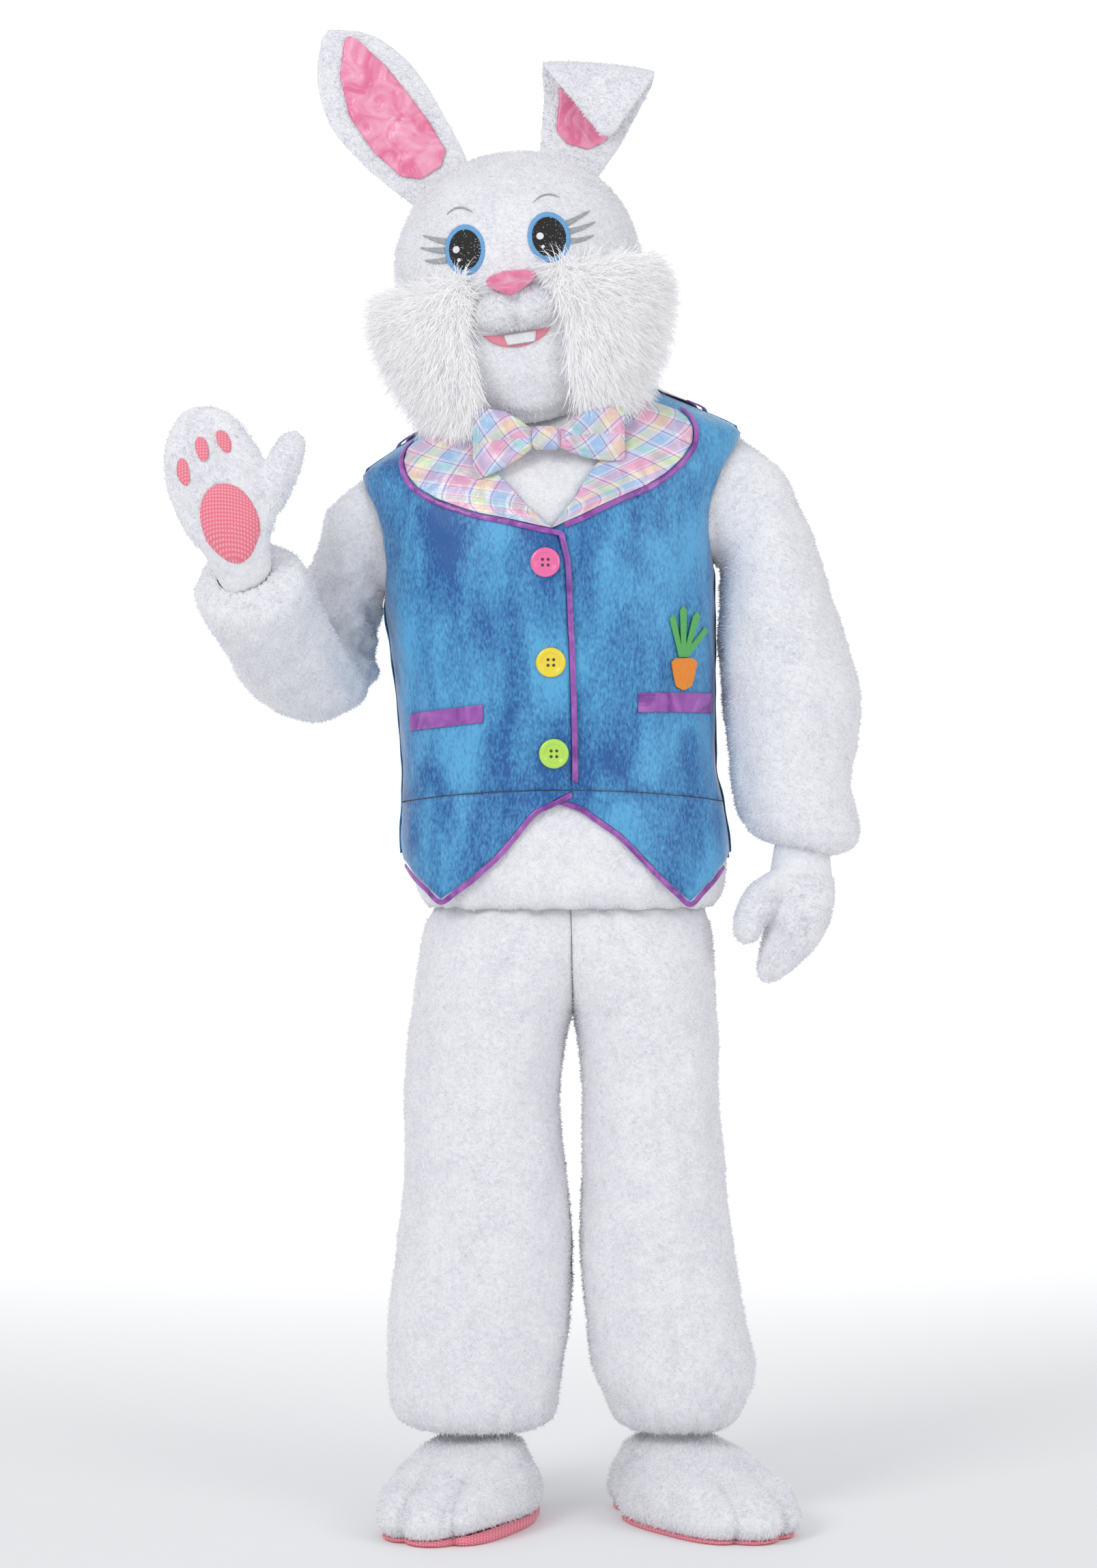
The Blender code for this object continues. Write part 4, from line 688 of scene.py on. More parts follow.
def section_ring(section, count=SLEEVE_RING):
    """An ellipse through a section's outer and inner points, as deep in front as its half depth."""
    angle = round_turns(count)
    outer = np.array([section.outer_x, section.y, section.outer_z], float)
    inner = np.array([section.inner_x, section.y, section.inner_z], float)
    middle, half = (outer + inner) / 2, (outer - inner) / 2
    front = np.array([0, -section.half_depth, 0], float)
    return middle + np.cos(angle)[:, None] * half + np.sin(angle)[:, None] * front


ELBOW = np.array([-277.0, 32.0, 1163.0])
ELBOW_RADIUS = 60.0
UPPER_ARM = unit([-0.12, 0.2, -0.97])
FOREARM = unit([-0.27, -0.74, 0.62])
FOREARM_LENGTH = 192.0


def elbow_path():
    """Middle points and inward sides of the bent sleeve: an arc, then a straight forearm."""
    bend = np.arccos(UPPER_ARM @ FOREARM)
    inside = unit(FOREARM - (UPPER_ARM @ FOREARM) * UPPER_ARM)
    points, fronts = [], []
    for angle in np.linspace(0, bend, 7):
        points.append(ELBOW + ELBOW_RADIUS * (sin(angle) * UPPER_ARM + (1 - cos(angle)) * inside))
        fronts.append(cos(angle) * inside - sin(angle) * UPPER_ARM)
    corner = points[-1]
    for share in (0.2, 0.4, 0.6, 0.78, 0.9, 0.97, 1.0):
        points.append(corner + FOREARM * FOREARM_LENGTH * share)
        fronts.append(fronts[6])
    return points, fronts


FOREARM_HALF_ACROSS = [52, 58, 66, 72, 76, 79, 80, 79, 76, 75, 77, 73, 58, 37]
FOREARM_HALF_DEEP = [52, 52, 52, 52, 52, 52, 52, 57, 62, 66, 68, 65, 52, 35]


def forearm_rings(count=SLEEVE_RING):
    """Ellipses square to the bent path."""
    points, fronts = elbow_path()
    across = unit(np.cross(UPPER_ARM, FOREARM))
    across = -across if across[0] > 0 else across
    angle = round_turns(count)[:, None]
    return [
        point + np.cos(angle) * across * wide + np.sin(angle) * front * deep
        for point, front, wide, deep in zip(points, fronts, FOREARM_HALF_ACROSS, FOREARM_HALF_DEEP)
    ]


def weave_between(values, steps, around):
    """Catmull-Rom curve through the rows of an array, with this many steps from each row to the next."""
    values = np.asarray(values, float)
    if around:
        ends = np.concatenate([values[-1:], values, values[:2]])
    else:
        ends = np.concatenate([2 * values[:1] - values[1:2], values, 2 * values[-1:] - values[-2:-1]])
    before, start, end, after = ends[:-3], ends[1:-2], ends[2:-1], ends[3:]
    part = (np.arange(steps) / steps).reshape(-1, *[1] * values.ndim)
    curve = 0.5 * (
        2 * start
        + (end - before) * part
        + (2 * before - 5 * start + 4 * end - after) * part**2
        + (3 * start - before - 3 * end + after) * part**3
    )
    curve = np.swapaxes(curve, 0, 1).reshape(-1, *values.shape[1:])
    return curve if around else np.concatenate([curve, values[-1:]])


def finer(grid, row_steps, column_steps, around=True):
    """A closer grid whose rows and columns run smoothly through the coarse ones."""
    grid = weave_between(grid, row_steps, False)
    return np.swapaxes(weave_between(np.swapaxes(grid, 0, 1), column_steps, around), 0, 1)


def sleeve_folds(grid, seed, bend=None):
    """Soft dents of the full plush: noise stretched round the sleeve, deeper near the bend."""
    depth = 1.6 * ripple(grid * [1.0, 1.0, 1.6], length=75, seed=seed)
    depth = depth + 0.8 * ripple(grid, length=34, seed=seed + 1)
    if bend is not None:
        near = np.exp(-((np.linalg.norm(grid - bend, axis=-1) / 95) ** 2))
        depth = depth * (1 + 2.2 * near)
    return depth


def cuff_gathers(grid, rows, count):
    """Pleats of an elastic: cosines round the last share of the rows, growing towards the very end."""
    share = np.linspace(0, 1, grid.shape[0])[:, None]
    turn = np.linspace(0, 2 * pi, grid.shape[1], endpoint=False)
    grow = ease(1 - rows, 1, share)
    return grow * (1.6 * np.cos(turn * count) + 0.8 * np.cos(turn * (count // 2 + 1) + 1))


ELBOW_CREASES = ELBOW + [10, -30, 10]
CUFF_PLEATS = 26
left_rings = [section_ring(section) for section in LEFT_SLEEVE]
right_rings = [section_ring(section) for section in RIGHT_SLEEVE] + forearm_rings()
for name, side, rings, row_steps, cuff, bend, seed in (
    ("left", 1, left_rings, 7, 0.2, None, 21),
    ("right", -1, right_rings, 6, 0.16, ELBOW_CREASES, 31),
):
    grid = finer([armhole_loop(side)] + rings, row_steps, column_steps=8)
    dents = sleeve_folds(grid, seed, bend) + cuff_gathers(grid, cuff, CUFF_PLEATS)
    calm = ease(0, 0.08, np.linspace(0, 1, len(grid)))[:, None]
    grid = puffed(grid, side * dents * calm, around=True)
    cloth(f"sleeve_{name}", grid, plush, "plush_white", f"sleeve_{name}", around=True, turned=side < 0)
    tips_on(f"sleeve_{name}_pile", grid, count=52000, length=5.0, seed=seed + 2, around=True, turned=side < 0)


# Trousers
# Two straight plush legs, joined by the seams at the middle of the front and back. A long seam runs down
# the front of each leg, and an elastic gathers each end at the ankle, so the plush bags over it.

Leg = namedtuple("Leg", "level outer inner half_depth seam")
RIGHT_LEG = [
    Leg(112, -147.5, -36.5, 53, 0),
    Leg(116, -176, -14, 74, 0),
    Leg(128, -197, 3, 92, 0),
    Leg(150, -207, 11, 101, 0),
    Leg(195, -211, 17, 105, 0),
    Leg(250, -211, 27, 107, 0),
    Leg(350, -198, 33, 105, 0),
    Leg(450, -190, 22, 103, 0),
    Leg(540, -189, 14, 104, 0),
    Leg(620, -183, 22, 110, 0),
    Leg(658, -179, 31.8, 114, 0),
    Leg(680, -177, 44, 116, 32),
    Leg(712, -173, 66, 118, 31),
    Leg(760, -165, 100, 119, 30),
    Leg(784, -158, 118, 118, 29),
    Leg(800, -149, 133, 115, 28),
    Leg(870, -159, 180, 118, 24),
    Leg(960, -170, 198, 124, 18),
]
LEFT_LEG = [
    Leg(112, 224, 113, 55, 0),
    Leg(120, 240, 96, 74, 0),
    Leg(134, 250, 84, 90, 0),
    Leg(160, 262, 72, 100, 0),
    Leg(195, 270, 58, 105, 0),
    Leg(250, 261, 51, 107, 0),
    Leg(350, 242, 42, 105, 0),
    Leg(450, 232, 45, 103, 0),
    Leg(540, 225, 45, 104, 0),
    Leg(620, 222, 40, 110, 0),
    Leg(658, 220, 32.2, 114, 0),
    Leg(680, 219, 20, 116, 32),
    Leg(712, 218, -4, 118, 31),
    Leg(760, 215, -40, 119, 30),
    Leg(784, 210, -58, 118, 29),
    Leg(800, 205, -77, 115, 28),
    Leg(870, 208, -132, 118, 24),
    Leg(960, 208, -160, 124, 18),
]
LEG_FOLDS = [
    Fold(60, 160, 420, 14, 5),
    Fold(115, 200, 620, 12, 5),
    Fold(235, 150, 400, 14, 5),
    Fold(292, 240, 600, 13, 4),
]

LEG_SQUARENESS = 2.2
FRONT_SEAM_TURN = 92
FRONT_SEAM_DEPTH = 3.2


def leg_grid(table, side, levels, columns):
    """Rings from the ankle up: rounded rectangles of the leg's sizes, open at the middle seam on top."""
    level = np.asarray(levels, float)[:, None]
    outer, inner = level_value(table, "outer", level), level_value(table, "inner", level)
    middle, half = (outer + inner) / 2, np.abs(outer - inner) / 2
    open_rows = [row for row in table if row.seam]
    seam = np.interp(level, column(open_rows, "level"), column(open_rows, "seam")) + side * SEAM
    part = np.clip((seam - middle) / (-side * half), 0, 1)
    start = np.degrees(np.arccos(part ** (LEG_SQUARENESS / 2)))
    turn = start + (360 - 2 * start) * np.linspace(0, 1, columns)
    angle = np.radians(turn)
    gathers = (2.6 * np.cos(angle * 24) + 1.6 * np.cos(angle * 13 + 1)) * (1 - ease(118, 170, level))
    front_seam = FRONT_SEAM_DEPTH * np.exp(-(((turn - FRONT_SEAM_TURN) / 2.2) ** 2)) * ease(150, 240, level)
    inset = fold_depth(LEG_FOLDS, turn, level) + gathers + front_seam
    x = middle - side * power_of(np.cos(angle), 2 / LEG_SQUARENESS) * (half - inset)
    y = -power_of(np.sin(angle), 2 / LEG_SQUARENESS) * (level_value(table, "half_depth", level) - inset)
    return np.stack([x, y, level + 0 * x], -1)


LEG_COLUMNS = 110
LEG_ROWS_BELOW_TUNIC = 82

leg_levels = np.concatenate([fine(112, 160, 4)[:-1], fine(160, 640, 9)[:-1], fine(640, 960, 9)])
for name, table, side, seed in (("right", RIGHT_LEG, -1, 41), ("left", LEFT_LEG, 1, 43)):
    grid = leg_grid(table, side, leg_levels, LEG_COLUMNS)
    slow = 1.5 * ripple(grid * [1, 1, 0.45], length=80, seed=seed)
    slow = slow + 0.7 * ripple(grid, length=36, seed=seed + 1)
    calm = ease(112, 150, grid[..., 2]) * (1 - ease(640, 660, grid[..., 2]))
    grid = puffed(grid, side * slow * calm)
    cloth(f"trouser_leg_{name}", grid, plush, "plush_white", f"trouser_leg_{name}", turned=side < 0)
    tips_on(f"trouser_leg_{name}_pile", grid[:LEG_ROWS_BELOW_TUNIC], count=70000, length=5.0, seed=seed + 2,
            turned=side < 0)


# Shoe covers
# A plush upper with three stuffed toes is sewn to a flat sole of dotted pink fabric. It slips over the
# wearer's own shoe and its narrow neck goes up inside the trouser end.

Shoe = namedtuple("Shoe", "side ankle_x ankle_y heading lift")
SHOES = [Shoe("right", -94, 0, -15, 13), Shoe("left", 167, 0, 26, 0)]
Girth = namedtuple("Girth", "height forward rearward half_width toes")
UPPER = [
    Girth(0, 236, 78, 84, 1.0),
    Girth(20, 252, 91, 93, 1.0),
    Girth(50, 228, 89, 90, 0.8),
    Girth(68, 180, 85, 83, 0.3),
    Girth(84, 128, 78, 73, 0),
    Girth(94, 76, 62, 56, 0),
    Girth(104, 45, 45, 42, 0),
    Girth(150, 42, 42, 40, 0),
]
SOLE_HEIGHT = 5.0

SHOE_COLUMNS = 96
TOE_LENGTH = 17
TOE_INSET = 14
TOE_CREASE = 7
SOLE_GAP = 0.4


def shoe_plan(shoe, forward, rearward, half_width, toes):
    """Outline from above: a squared ellipse, longer in front, with three lobes for toes and a waist."""
    angle = round_turns(SHOE_COLUMNS)
    ahead = np.cos(angle)
    reach = np.where(ahead > 0, forward, rearward)
    along = power_of(ahead, 0.8) * reach
    width = half_width * (1 - 0.16 * np.exp(-(((along + 10) / 60) ** 2)) * ease(100, 150, forward))
    across = power_of(np.sin(angle), 0.8) * width * np.where(ahead > 0, 1 + 0.1 * toes, 0.84)
    swell = np.abs(np.cos(1.5 * across / (0.36 * half_width))) ** 0.7
    lobes = toes * TOE_LENGTH * ease(0.4, 0.75, ahead) * swell
    along = along - toes * TOE_INSET + lobes
    heading = radians(shoe.heading)
    x = shoe.ankle_x + across * cos(heading) + along * sin(heading)
    y = shoe.ankle_y + across * sin(heading) - along * cos(heading)
    return x, y, angle


def sole_top(shoe, angle):
    """The sole's upper face, which turns up at one side of the front."""
    inner = 0.9 if shoe.side == "right" else -0.9
    return SOLE_HEIGHT + shoe.lift * np.exp(-(((angle - inner + pi) % (2 * pi) - pi) / 0.7) ** 2)


def shoe_ring(shoe, height, forward, rearward, half_width, toes):
    """Ring of the upper at a height, which is squeezed where the sole turns up."""
    x, y, angle = shoe_plan(shoe, forward, rearward, half_width, toes)
    low = sole_top(shoe, angle) + SOLE_GAP
    return np.stack([x, y, low + height * (1 - low / 160)], -1)


dotted, tree, shader = new_material("dotted pink knit", roughness=0.7, Sheen_Weight=0.2)
axes, flat = tree.nodes.new("ShaderNodeSeparateXYZ"), tree.nodes.new("ShaderNodeCombineXYZ")
tree.links.new(object_place(tree), axes.inputs[0])
tree.links.new(axes.outputs["X"], flat.inputs["X"])
tree.links.new(calculate(tree, "ADD", axes.outputs["Y"], axes.outputs["Z"]), flat.inputs["Y"])
dots = tree.nodes.new("ShaderNodeTexVoronoi")
dots.voronoi_dimensions = "2D"
dots.inputs["Scale"].default_value = 260
dots.inputs["Randomness"].default_value = 0.0
tree.links.new(flat.outputs[0], dots.inputs["Vector"])
dot = spread(tree, dots.outputs["Distance"], 0.22, 0.36, 1.0, 0.0)
colour_between(tree, shader, dot, (0.86, 0.19, 0.27, 1), (0.93, 0.42, 0.47, 1))
add_bump(tree, shader, dot, strength=0.4, distance=0.0006)

SHOE_ROWS_BELOW_NECK = 27
for shoe, seed in zip(SHOES, (51, 53)):
    sizes = np.array(UPPER, float)
    heights = np.concatenate([fine(0, 104, 4), [112, 125, 150]])
    girths = [[through(sizes[:, 0], size, height) for size in sizes.T[1:]] for height in heights]
    grid = np.array([shoe_ring(shoe, height, *girth) for height, girth in zip(heights, girths)])
    top = np.exp(-(((grid[..., 2] - 45) / 30) ** 2))
    heading = radians(shoe.heading)
    local = grid - [shoe.ankle_x, shoe.ankle_y, 0]
    along = local[..., 0] * sin(heading) - local[..., 1] * cos(heading)
    across = local[..., 0] * cos(heading) + local[..., 1] * sin(heading)
    crease = np.exp(-(((np.abs(across) - 30) / 6) ** 2)) * ease(90, 200, along) * ease(8, 40, grid[..., 2])
    swell = 2.2 * ripple(grid, length=60, seed=seed) * top - TOE_CREASE * crease
    grid = puffed(grid, swell * ease(0, 10, grid[..., 2] - SOLE_HEIGHT), around=True)
    name = f"shoe_upper_{shoe.side}"
    cloth(name, grid, plush, "plush_white", name, thickness=3, around=True)
    tips_on(f"{name}_pile", grid[:SHOE_ROWS_BELOW_NECK], count=34000, length=5.5, seed=seed + 1, around=True)
    x, y, angle = shoe_plan(shoe, forward=240, rearward=83, half_width=88, toes=1.0)
    rim = np.stack([x, y, np.zeros_like(x)], -1)
    middle = rim.mean(0)
    upper = np.stack([x, y, sole_top(shoe, angle)], -1)
    inner_top = middle + (upper - middle) * [0.75, 0.75, 1]
    inner_top[:, 2] = SOLE_HEIGHT
    poles = (middle + 0 * rim, middle + [0, 0, SOLE_HEIGHT] + 0 * rim)
    sole = [poles[0], middle + (rim - middle) * 0.97, rim + [0, 0, 2], upper, inner_top, poles[1]]
    name = f"shoe_sole_{shoe.side}"
    item = closed_piece(name, sole, dotted, "dotted_pink", name)


# Mask
# The head is a light foam shell covered in white plush, a face and a back joined over the ears. It tips
# towards the raised hand, and its plush runs down into a neck flap that lies over the tunic.

HEAD = np.array([-39.0, -5.0, 1630.0])
HEAD_ROLL = radians(8)
HEAD_YAW = radians(5)
Skull = namedtuple("Skull", "height half_width front rear dip")
MASK = [
    Skull(-205, 118, 128, 100, 55),
    Skull(-165, 121, 124, 104, 55),
    Skull(-125, 124, 124, 112, 55),
    Skull(-105, 139, 143, 127, 42),
    Skull(-75, 155, 157, 143, 24),
    Skull(-40, 162, 163, 153, 8),
    Skull(0, 163, 162, 158, 0),
    Skull(45, 157, 155, 152, 0),
    Skull(85, 140, 138, 136, 0),
    Skull(118, 113, 111, 110, 0),
    Skull(142, 78, 77, 77, 0),
    Skull(156, 38, 38, 38, 0),
    Skull(160, 0, 0, 0, 0),
]


def local_mask(turn, height):
    """Point of the mask in the head's own frame, at a turn in degrees from the front."""
    angle = np.radians(turn)
    height = np.asarray(height, float)
    value = {name: through(column(MASK, "height"), column(MASK, name), height) for name in Skull._fields[1:]}
    depth = np.where(np.cos(angle) > 0, value["front"], value["rear"])
    dip = value["dip"] * np.clip(0.5 + 0.5 * np.cos(angle), 0, 1) ** 2
    return np.stack(
        [np.sin(angle) * value["half_width"], -np.cos(angle) * depth, height - dip + 0 * angle], -1
    )


def in_room(points):
    """Turns and places a point of the head's own frame."""
    x, y, z = np.moveaxis(np.asarray(points, float), -1, 0)
    turned_x = x * cos(HEAD_YAW) + y * sin(HEAD_YAW)
    turned_y = -x * sin(HEAD_YAW) + y * cos(HEAD_YAW)
    rolled_x = turned_x * cos(HEAD_ROLL) - z * sin(HEAD_ROLL)
    rolled_z = turned_x * sin(HEAD_ROLL) + z * cos(HEAD_ROLL)
    return np.stack([rolled_x, turned_y, rolled_z], -1) + HEAD


def local_face(turn, height, lift):
    """Point lifted off the mask, in the head's own frame."""
    turn, height, lift = same_shape(turn, height, lift)
    nudge = 0.5
    across = local_mask(turn + nudge, height) - local_mask(turn - nudge, height)
    up = local_mask(turn, height + nudge) - local_mask(turn, height - nudge)
    return local_mask(turn, height) + lift[..., None] * unit(np.cross(across, up))


def face(x, z, lift):
    """Point on the front of the mask, at x and z of the head's own frame, lifted off it."""
    x, z, lift = same_shape(x, z, lift)
    turn, height = np.degrees(np.arcsin(np.clip(x / 175, -0.95, 0.95))), z.copy()
    for _ in range(25):
        found = local_mask(turn, height)
        turn = np.clip(turn + np.degrees((x - found[..., 0]) / 165), -85, 85)
        height = np.clip(height + z - found[..., 2], -204, 159)
    return in_room(local_face(turn, height, lift))


mask_heights = np.concatenate([fine(-150, 120, 5)[:-1], fine(120, 150, 4)[:-1], fine(150, 160, 1.2)])
for name, start, end, shift in (("mask_face", -90, 90, -SEAM), ("mask_back", 90, 270, SEAM)):
    turns, rows = np.meshgrid(np.linspace(start, end, 110), mask_heights)
    local = local_mask(turns, rows)
    local[..., :2] *= (1 - 0.16 * ease(123, 150, -rows))[..., None]
    local[..., 1] += shift
    grid = in_room(local)
    grid = puffed(grid, 0.7 * ripple(grid, length=70, seed=61) * ease(2, 14, 160 - rows))
    cloth(name, grid, plush, "plush_white", name, thickness=3)
    tips_on(f"{name}_pile", grid, count=42000, length=5.0, seed=62 if name == "mask_face" else 63)


# Ears
# Each ear is a flat padded plush form with a pink satin front. One stands up and leans out; the other
# folds forward over a stiff edge, so its plush back hangs in front as a pointed flap.

Level = namedtuple("Level", "left_x left_z right_x right_z y half_depth")
RIGHT_EAR = [
    Level(-178, 1722, -108, 1772, -4, 8),
    Level(-190, 1731, -109, 1784, -3, 7.5),
    Level(-212, 1748, -117, 1803, -1, 7),
    Level(-250, 1782, -137, 1840, 2, 7),
    Level(-288, 1829, -160, 1880, 5, 7),
    Level(-305, 1888, -186, 1914, 8, 7),
    Level(-300, 1940, -220, 1942, 11, 6.5),
    Level(-291, 1956, -247, 1953, 12, 5),
]
LEFT_EAR = [
    Level(-12, 1790, 71, 1766, -4, 8),
    Level(-10, 1805, 79, 1779, -3, 7.5),
    Level(-9, 1824, 93, 1799, -2, 7),
    Level(-6, 1862, 118, 1845, 0, 6.5),
    Level(-8, 1890, 135, 1878, -1, 6),
    Level(-8, 1903, 139, 1891, -7, 6),
    Level(-7, 1907, 139, 1895, -15, 6),
    Level(-5, 1902, 138, 1890, -23, 6),
    Level(8, 1884, 130, 1876, -29, 6),
    Level(32, 1855, 113, 1851, -34, 6),
    Level(53, 1828, 95, 1825, -39, 5.5),
    Level(69, 1808, 82, 1807, -42, 4),
]


def ear_parts(table):
    """Middle, half width and front direction at each level of an ear."""
    left = np.array([[level.left_x, level.y, level.left_z] for level in table], float)
    right = np.array([[level.right_x, level.y, level.right_z] for level in table], float)
    middle, half = (left + right) / 2, (right - left) / 2
    forward = np.gradient(middle, axis=0)
    front = unit(np.cross(half, forward))
    return middle, half, front * np.array([level.half_depth for level in table])[:, None]


def seat_on_head(points, lift):
    """Moves points along their line to the head's middle until they lie on its surface."""
    away = points - HEAD
    x = away[:, 0] * cos(HEAD_ROLL) + away[:, 2] * sin(HEAD_ROLL)
    z = -away[:, 0] * sin(HEAD_ROLL) + away[:, 2] * cos(HEAD_ROLL)
    flat = np.hypot(x, away[:, 1])
    low, high = np.full(len(points), 0.5), np.full(len(points), 1.5)
    for _ in range(30):
        share = (low + high) / 2
        outside = (z * share > 159.9) | (
            flat * share > through(column(MASK, "height"), column(MASK, "half_width"), z * share)
        )
        low, high = np.where(outside, low, share), np.where(outside, share, high)
    return HEAD + away * (low + lift / np.linalg.norm(away, axis=1))[:, None]


def satin_group():
    """Crumpled satin: broad soft creases over fine ones as height, and where they rise a mask of painted
    highlight.
    """
    group = bpy.data.node_groups.new("satin", "ShaderNodeTree")
    add_socket(group, "Place", "NodeSocketVector", "INPUT")
    add_socket(group, "Crease", "NodeSocketFloat", "INPUT", 1.0)
    add_socket(group, "Height", "NodeSocketFloat", "OUTPUT")
    add_socket(group, "Painted_highlight", "NodeSocketFloat", "OUTPUT")
    start, end = group.nodes.new("NodeGroupInput"), group.nodes.new("NodeGroupOutput")
    broad = noise(group, start.outputs["Place"], scale=26, detail=2, distortion=1.6)
    small = noise(group, start.outputs["Place"], scale=90, detail=2, distortion=1.0)
    together = calculate(group, "ADD", broad, calculate(group, "MULTIPLY", small, 0.3))
    group.links.new(calculate(group, "MULTIPLY", together, start.outputs["Crease"]), end.inputs["Height"])
    # Painted highlight on the rising creases, painted shade in the hollows.
    group.links.new(spread(group, broad, 0.35, 0.68), end.inputs["Painted_highlight"])
    return group


satin = satin_group()


def satin_material(name, deep, light, roughness=0.3, crease=1.0):
    """Satin with painted highlight where its creases rise and painted shade in the hollows between them."""
    shine = {"Sheen_Weight": 0.15, "Coat_Weight": 0.12, "Coat_Roughness": 0.25}
    made, tree, shader = new_material(name, roughness, **shine)
    folds = use_group(tree, satin, object_place(tree), Crease=crease)
    # The deep tone is painted shade and the light tone is painted highlight, laid by the crease mask.
    colour_between(tree, shader, folds.outputs["Painted_highlight"], deep, light)
    add_bump(tree, shader, folds.outputs["Height"], strength=0.6, distance=0.006)
    return made


# The pink satin's two tones are painted shade and painted highlight over its creases.
pink_satin = satin_material("pink satin", (0.80, 0.17, 0.33, 1), (0.95, 0.42, 0.58, 1))


def ear_form(table, count):
    """Rings of an ear: flattened ellipses along its table, seated on the mask at the root."""
    middle, half, front = ear_parts(table)
    angle = round_turns(count)[:, None]
    rings = [m - np.cos(angle) * h + np.sin(angle) * f for m, h, f in zip(middle, half, front)]
    rings[0] = seat_on_head(rings[0], 1.3)
    return rings


def closed_ends(grid):
    """The first and last rows drawn together into poles."""
    first = np.repeat(grid[:1].mean(1, keepdims=True), grid.shape[1], 1)
    last = np.repeat(grid[-1:].mean(1, keepdims=True), grid.shape[1], 1)
    return np.concatenate([first, grid, last])


SATIN_COLUMNS = 26
SATIN_LIFT = 2.0
for name, table, rows, shares, seed in (
    ("right", RIGHT_EAR, [1.3, 2, 3, 4, 5, 5.8, 6.3], [0.3, 0.62, 0.66, 0.6, 0.5, 0.3, 0.05], 71),
    ("left", LEFT_EAR, [1.3, 2, 2.5, 3, 3.6], [0.3, 0.62, 0.66, 0.68, 0.7], 73),
):
    grid = closed_ends(finer(ear_form(table, count=16), row_steps=6, column_steps=4))
    item = closed_piece(f"ear_{name}", grid, plush, "plush_white", f"ear_{name}")
    turned = (outward(grid, True)[2:-2] * (grid[2:-2] - grid[2:-2].mean(1, keepdims=True))).sum() < 0
    tips_on(f"ear_{name}_pile", grid[2:-1], count=26000, length=5.0, seed=seed, around=True, turned=turned)
    middle, half, front = ear_parts(table)
    step = fine(rows[0], rows[-1], 0.12)
    wide = np.interp(step, rows, shares)
    middle, half, front = (points_along(points, step)[:, None] for points in (middle, half, front))
    across = np.linspace(-1, 1, SATIN_COLUMNS)[None, :, None] * wide[:, None, None]
    bulge = np.sqrt(np.clip(1 - across**2, 0, 1))
    grid = middle + half * across + front * bulge + unit(front) * SATIN_LIFT
    grid = grid + unit(front) * (0.9 * (1 + ripple(grid, length=38, seed=seed)))[..., None]
    cloth(f"ear_satin_{name}", grid, pink_satin, "satin_pink", f"ear_satin_{name}", thickness=1.0)


# Eyes
# Each eye is a ring of light blue felt round a pupil of black mesh that the wearer sees through. A white
# dot, three grey lashes and a thin grey brow are sewn or printed on.

FACE_MIDDLE = 2.0
EYE_ACROSS = 54.0
EYE_HEIGHT = 22.0
EYE_HALF_WIDTH = 26.5
EYE_HALF_HEIGHT = 33.0


def felt_material(name, colour):
    """Felt: matted fibres as small bumps, and a colour that varies a little with them."""
    made, tree, shader = new_material(name, roughness=0.9, Sheen_Weight=0.25)
    mat = noise(tree, object_place(tree), scale=480, detail=4, distortion=0.8)
    deep = tuple(value * 0.8 for value in colour) + (1,)
    colour_between(tree, shader, spread(tree, mat, 0.3, 0.7), deep, (*colour, 1))
    add_bump(tree, shader, mat, strength=0.4, distance=0.0008)
    return made


def patch_on_face(outline, centre, shares, lifts):
    """Rings between a centre and an outline on the mask, each at its own share and lift."""
    (centre_x, centre_z), (outline_x, outline_z) = centre, outline
    return np.stack([
        face(centre_x + (outline_x - centre_x) * share, centre_z + (outline_z - centre_z) * share, lift)
        for share, lift in zip(shares, lifts)
    ])


def oval(centre, half_width, half_height, count):
    """Outline round a centre, as x and z."""
    turn = round_turns(count)
    return centre[0] + np.cos(turn) * half_width, centre[1] + np.sin(turn) * half_height


def felt_patch(name, outline, centre, lift, rise, material, slot, *nodes):
    """A closed patch with a soft edge: up over its top from the middle, round its edge and back below."""
    shares = [0, 0.3, 0.6, 0.85, 0.96, 1.0, 1.0, 0.96, 0.5, 0]
    lifts = [lift + rise * part for part in (1, 1, 1, 1, 0.9, 0.6, 0.2, 0, 0, 0)]
    return closed_piece(name, patch_on_face(outline, centre, shares, lifts), material, slot, *nodes)


def felt_strip(name, line_x, line_z, half, spots, lift, rise, thickness):
    """A thin grey strip on the mask along a line, with half its width above and below the line."""
    grid = [face(line_x, line_z + half * spot, lift + rise * (1 - spot**2)) for spot in spots]
    add_wall(piece(name, surface_mesh(name, grid), grey_felt, "mesh_black"), thickness)


sky_felt = felt_material("light blue felt", (0.17, 0.44, 0.80))
grey_felt = felt_material("grey lash felt", (0.42, 0.43, 0.46))
white_felt = felt_material("white felt", (0.90, 0.90, 0.93))
black_mesh, tree, shader = new_material("black eye mesh", roughness=0.8)
threads = tree.nodes.new("ShaderNodeTexChecker")
threads.inputs["Scale"].default_value = 900
tree.links.new(object_place(tree), threads.inputs["Vector"])
colour_between(tree, shader, threads.outputs["Fac"], (0.008, 0.008, 0.009, 1), (0.022, 0.021, 0.021, 1))
add_bump(tree, shader, threads.outputs["Fac"], strength=0.05, distance=0.0001)

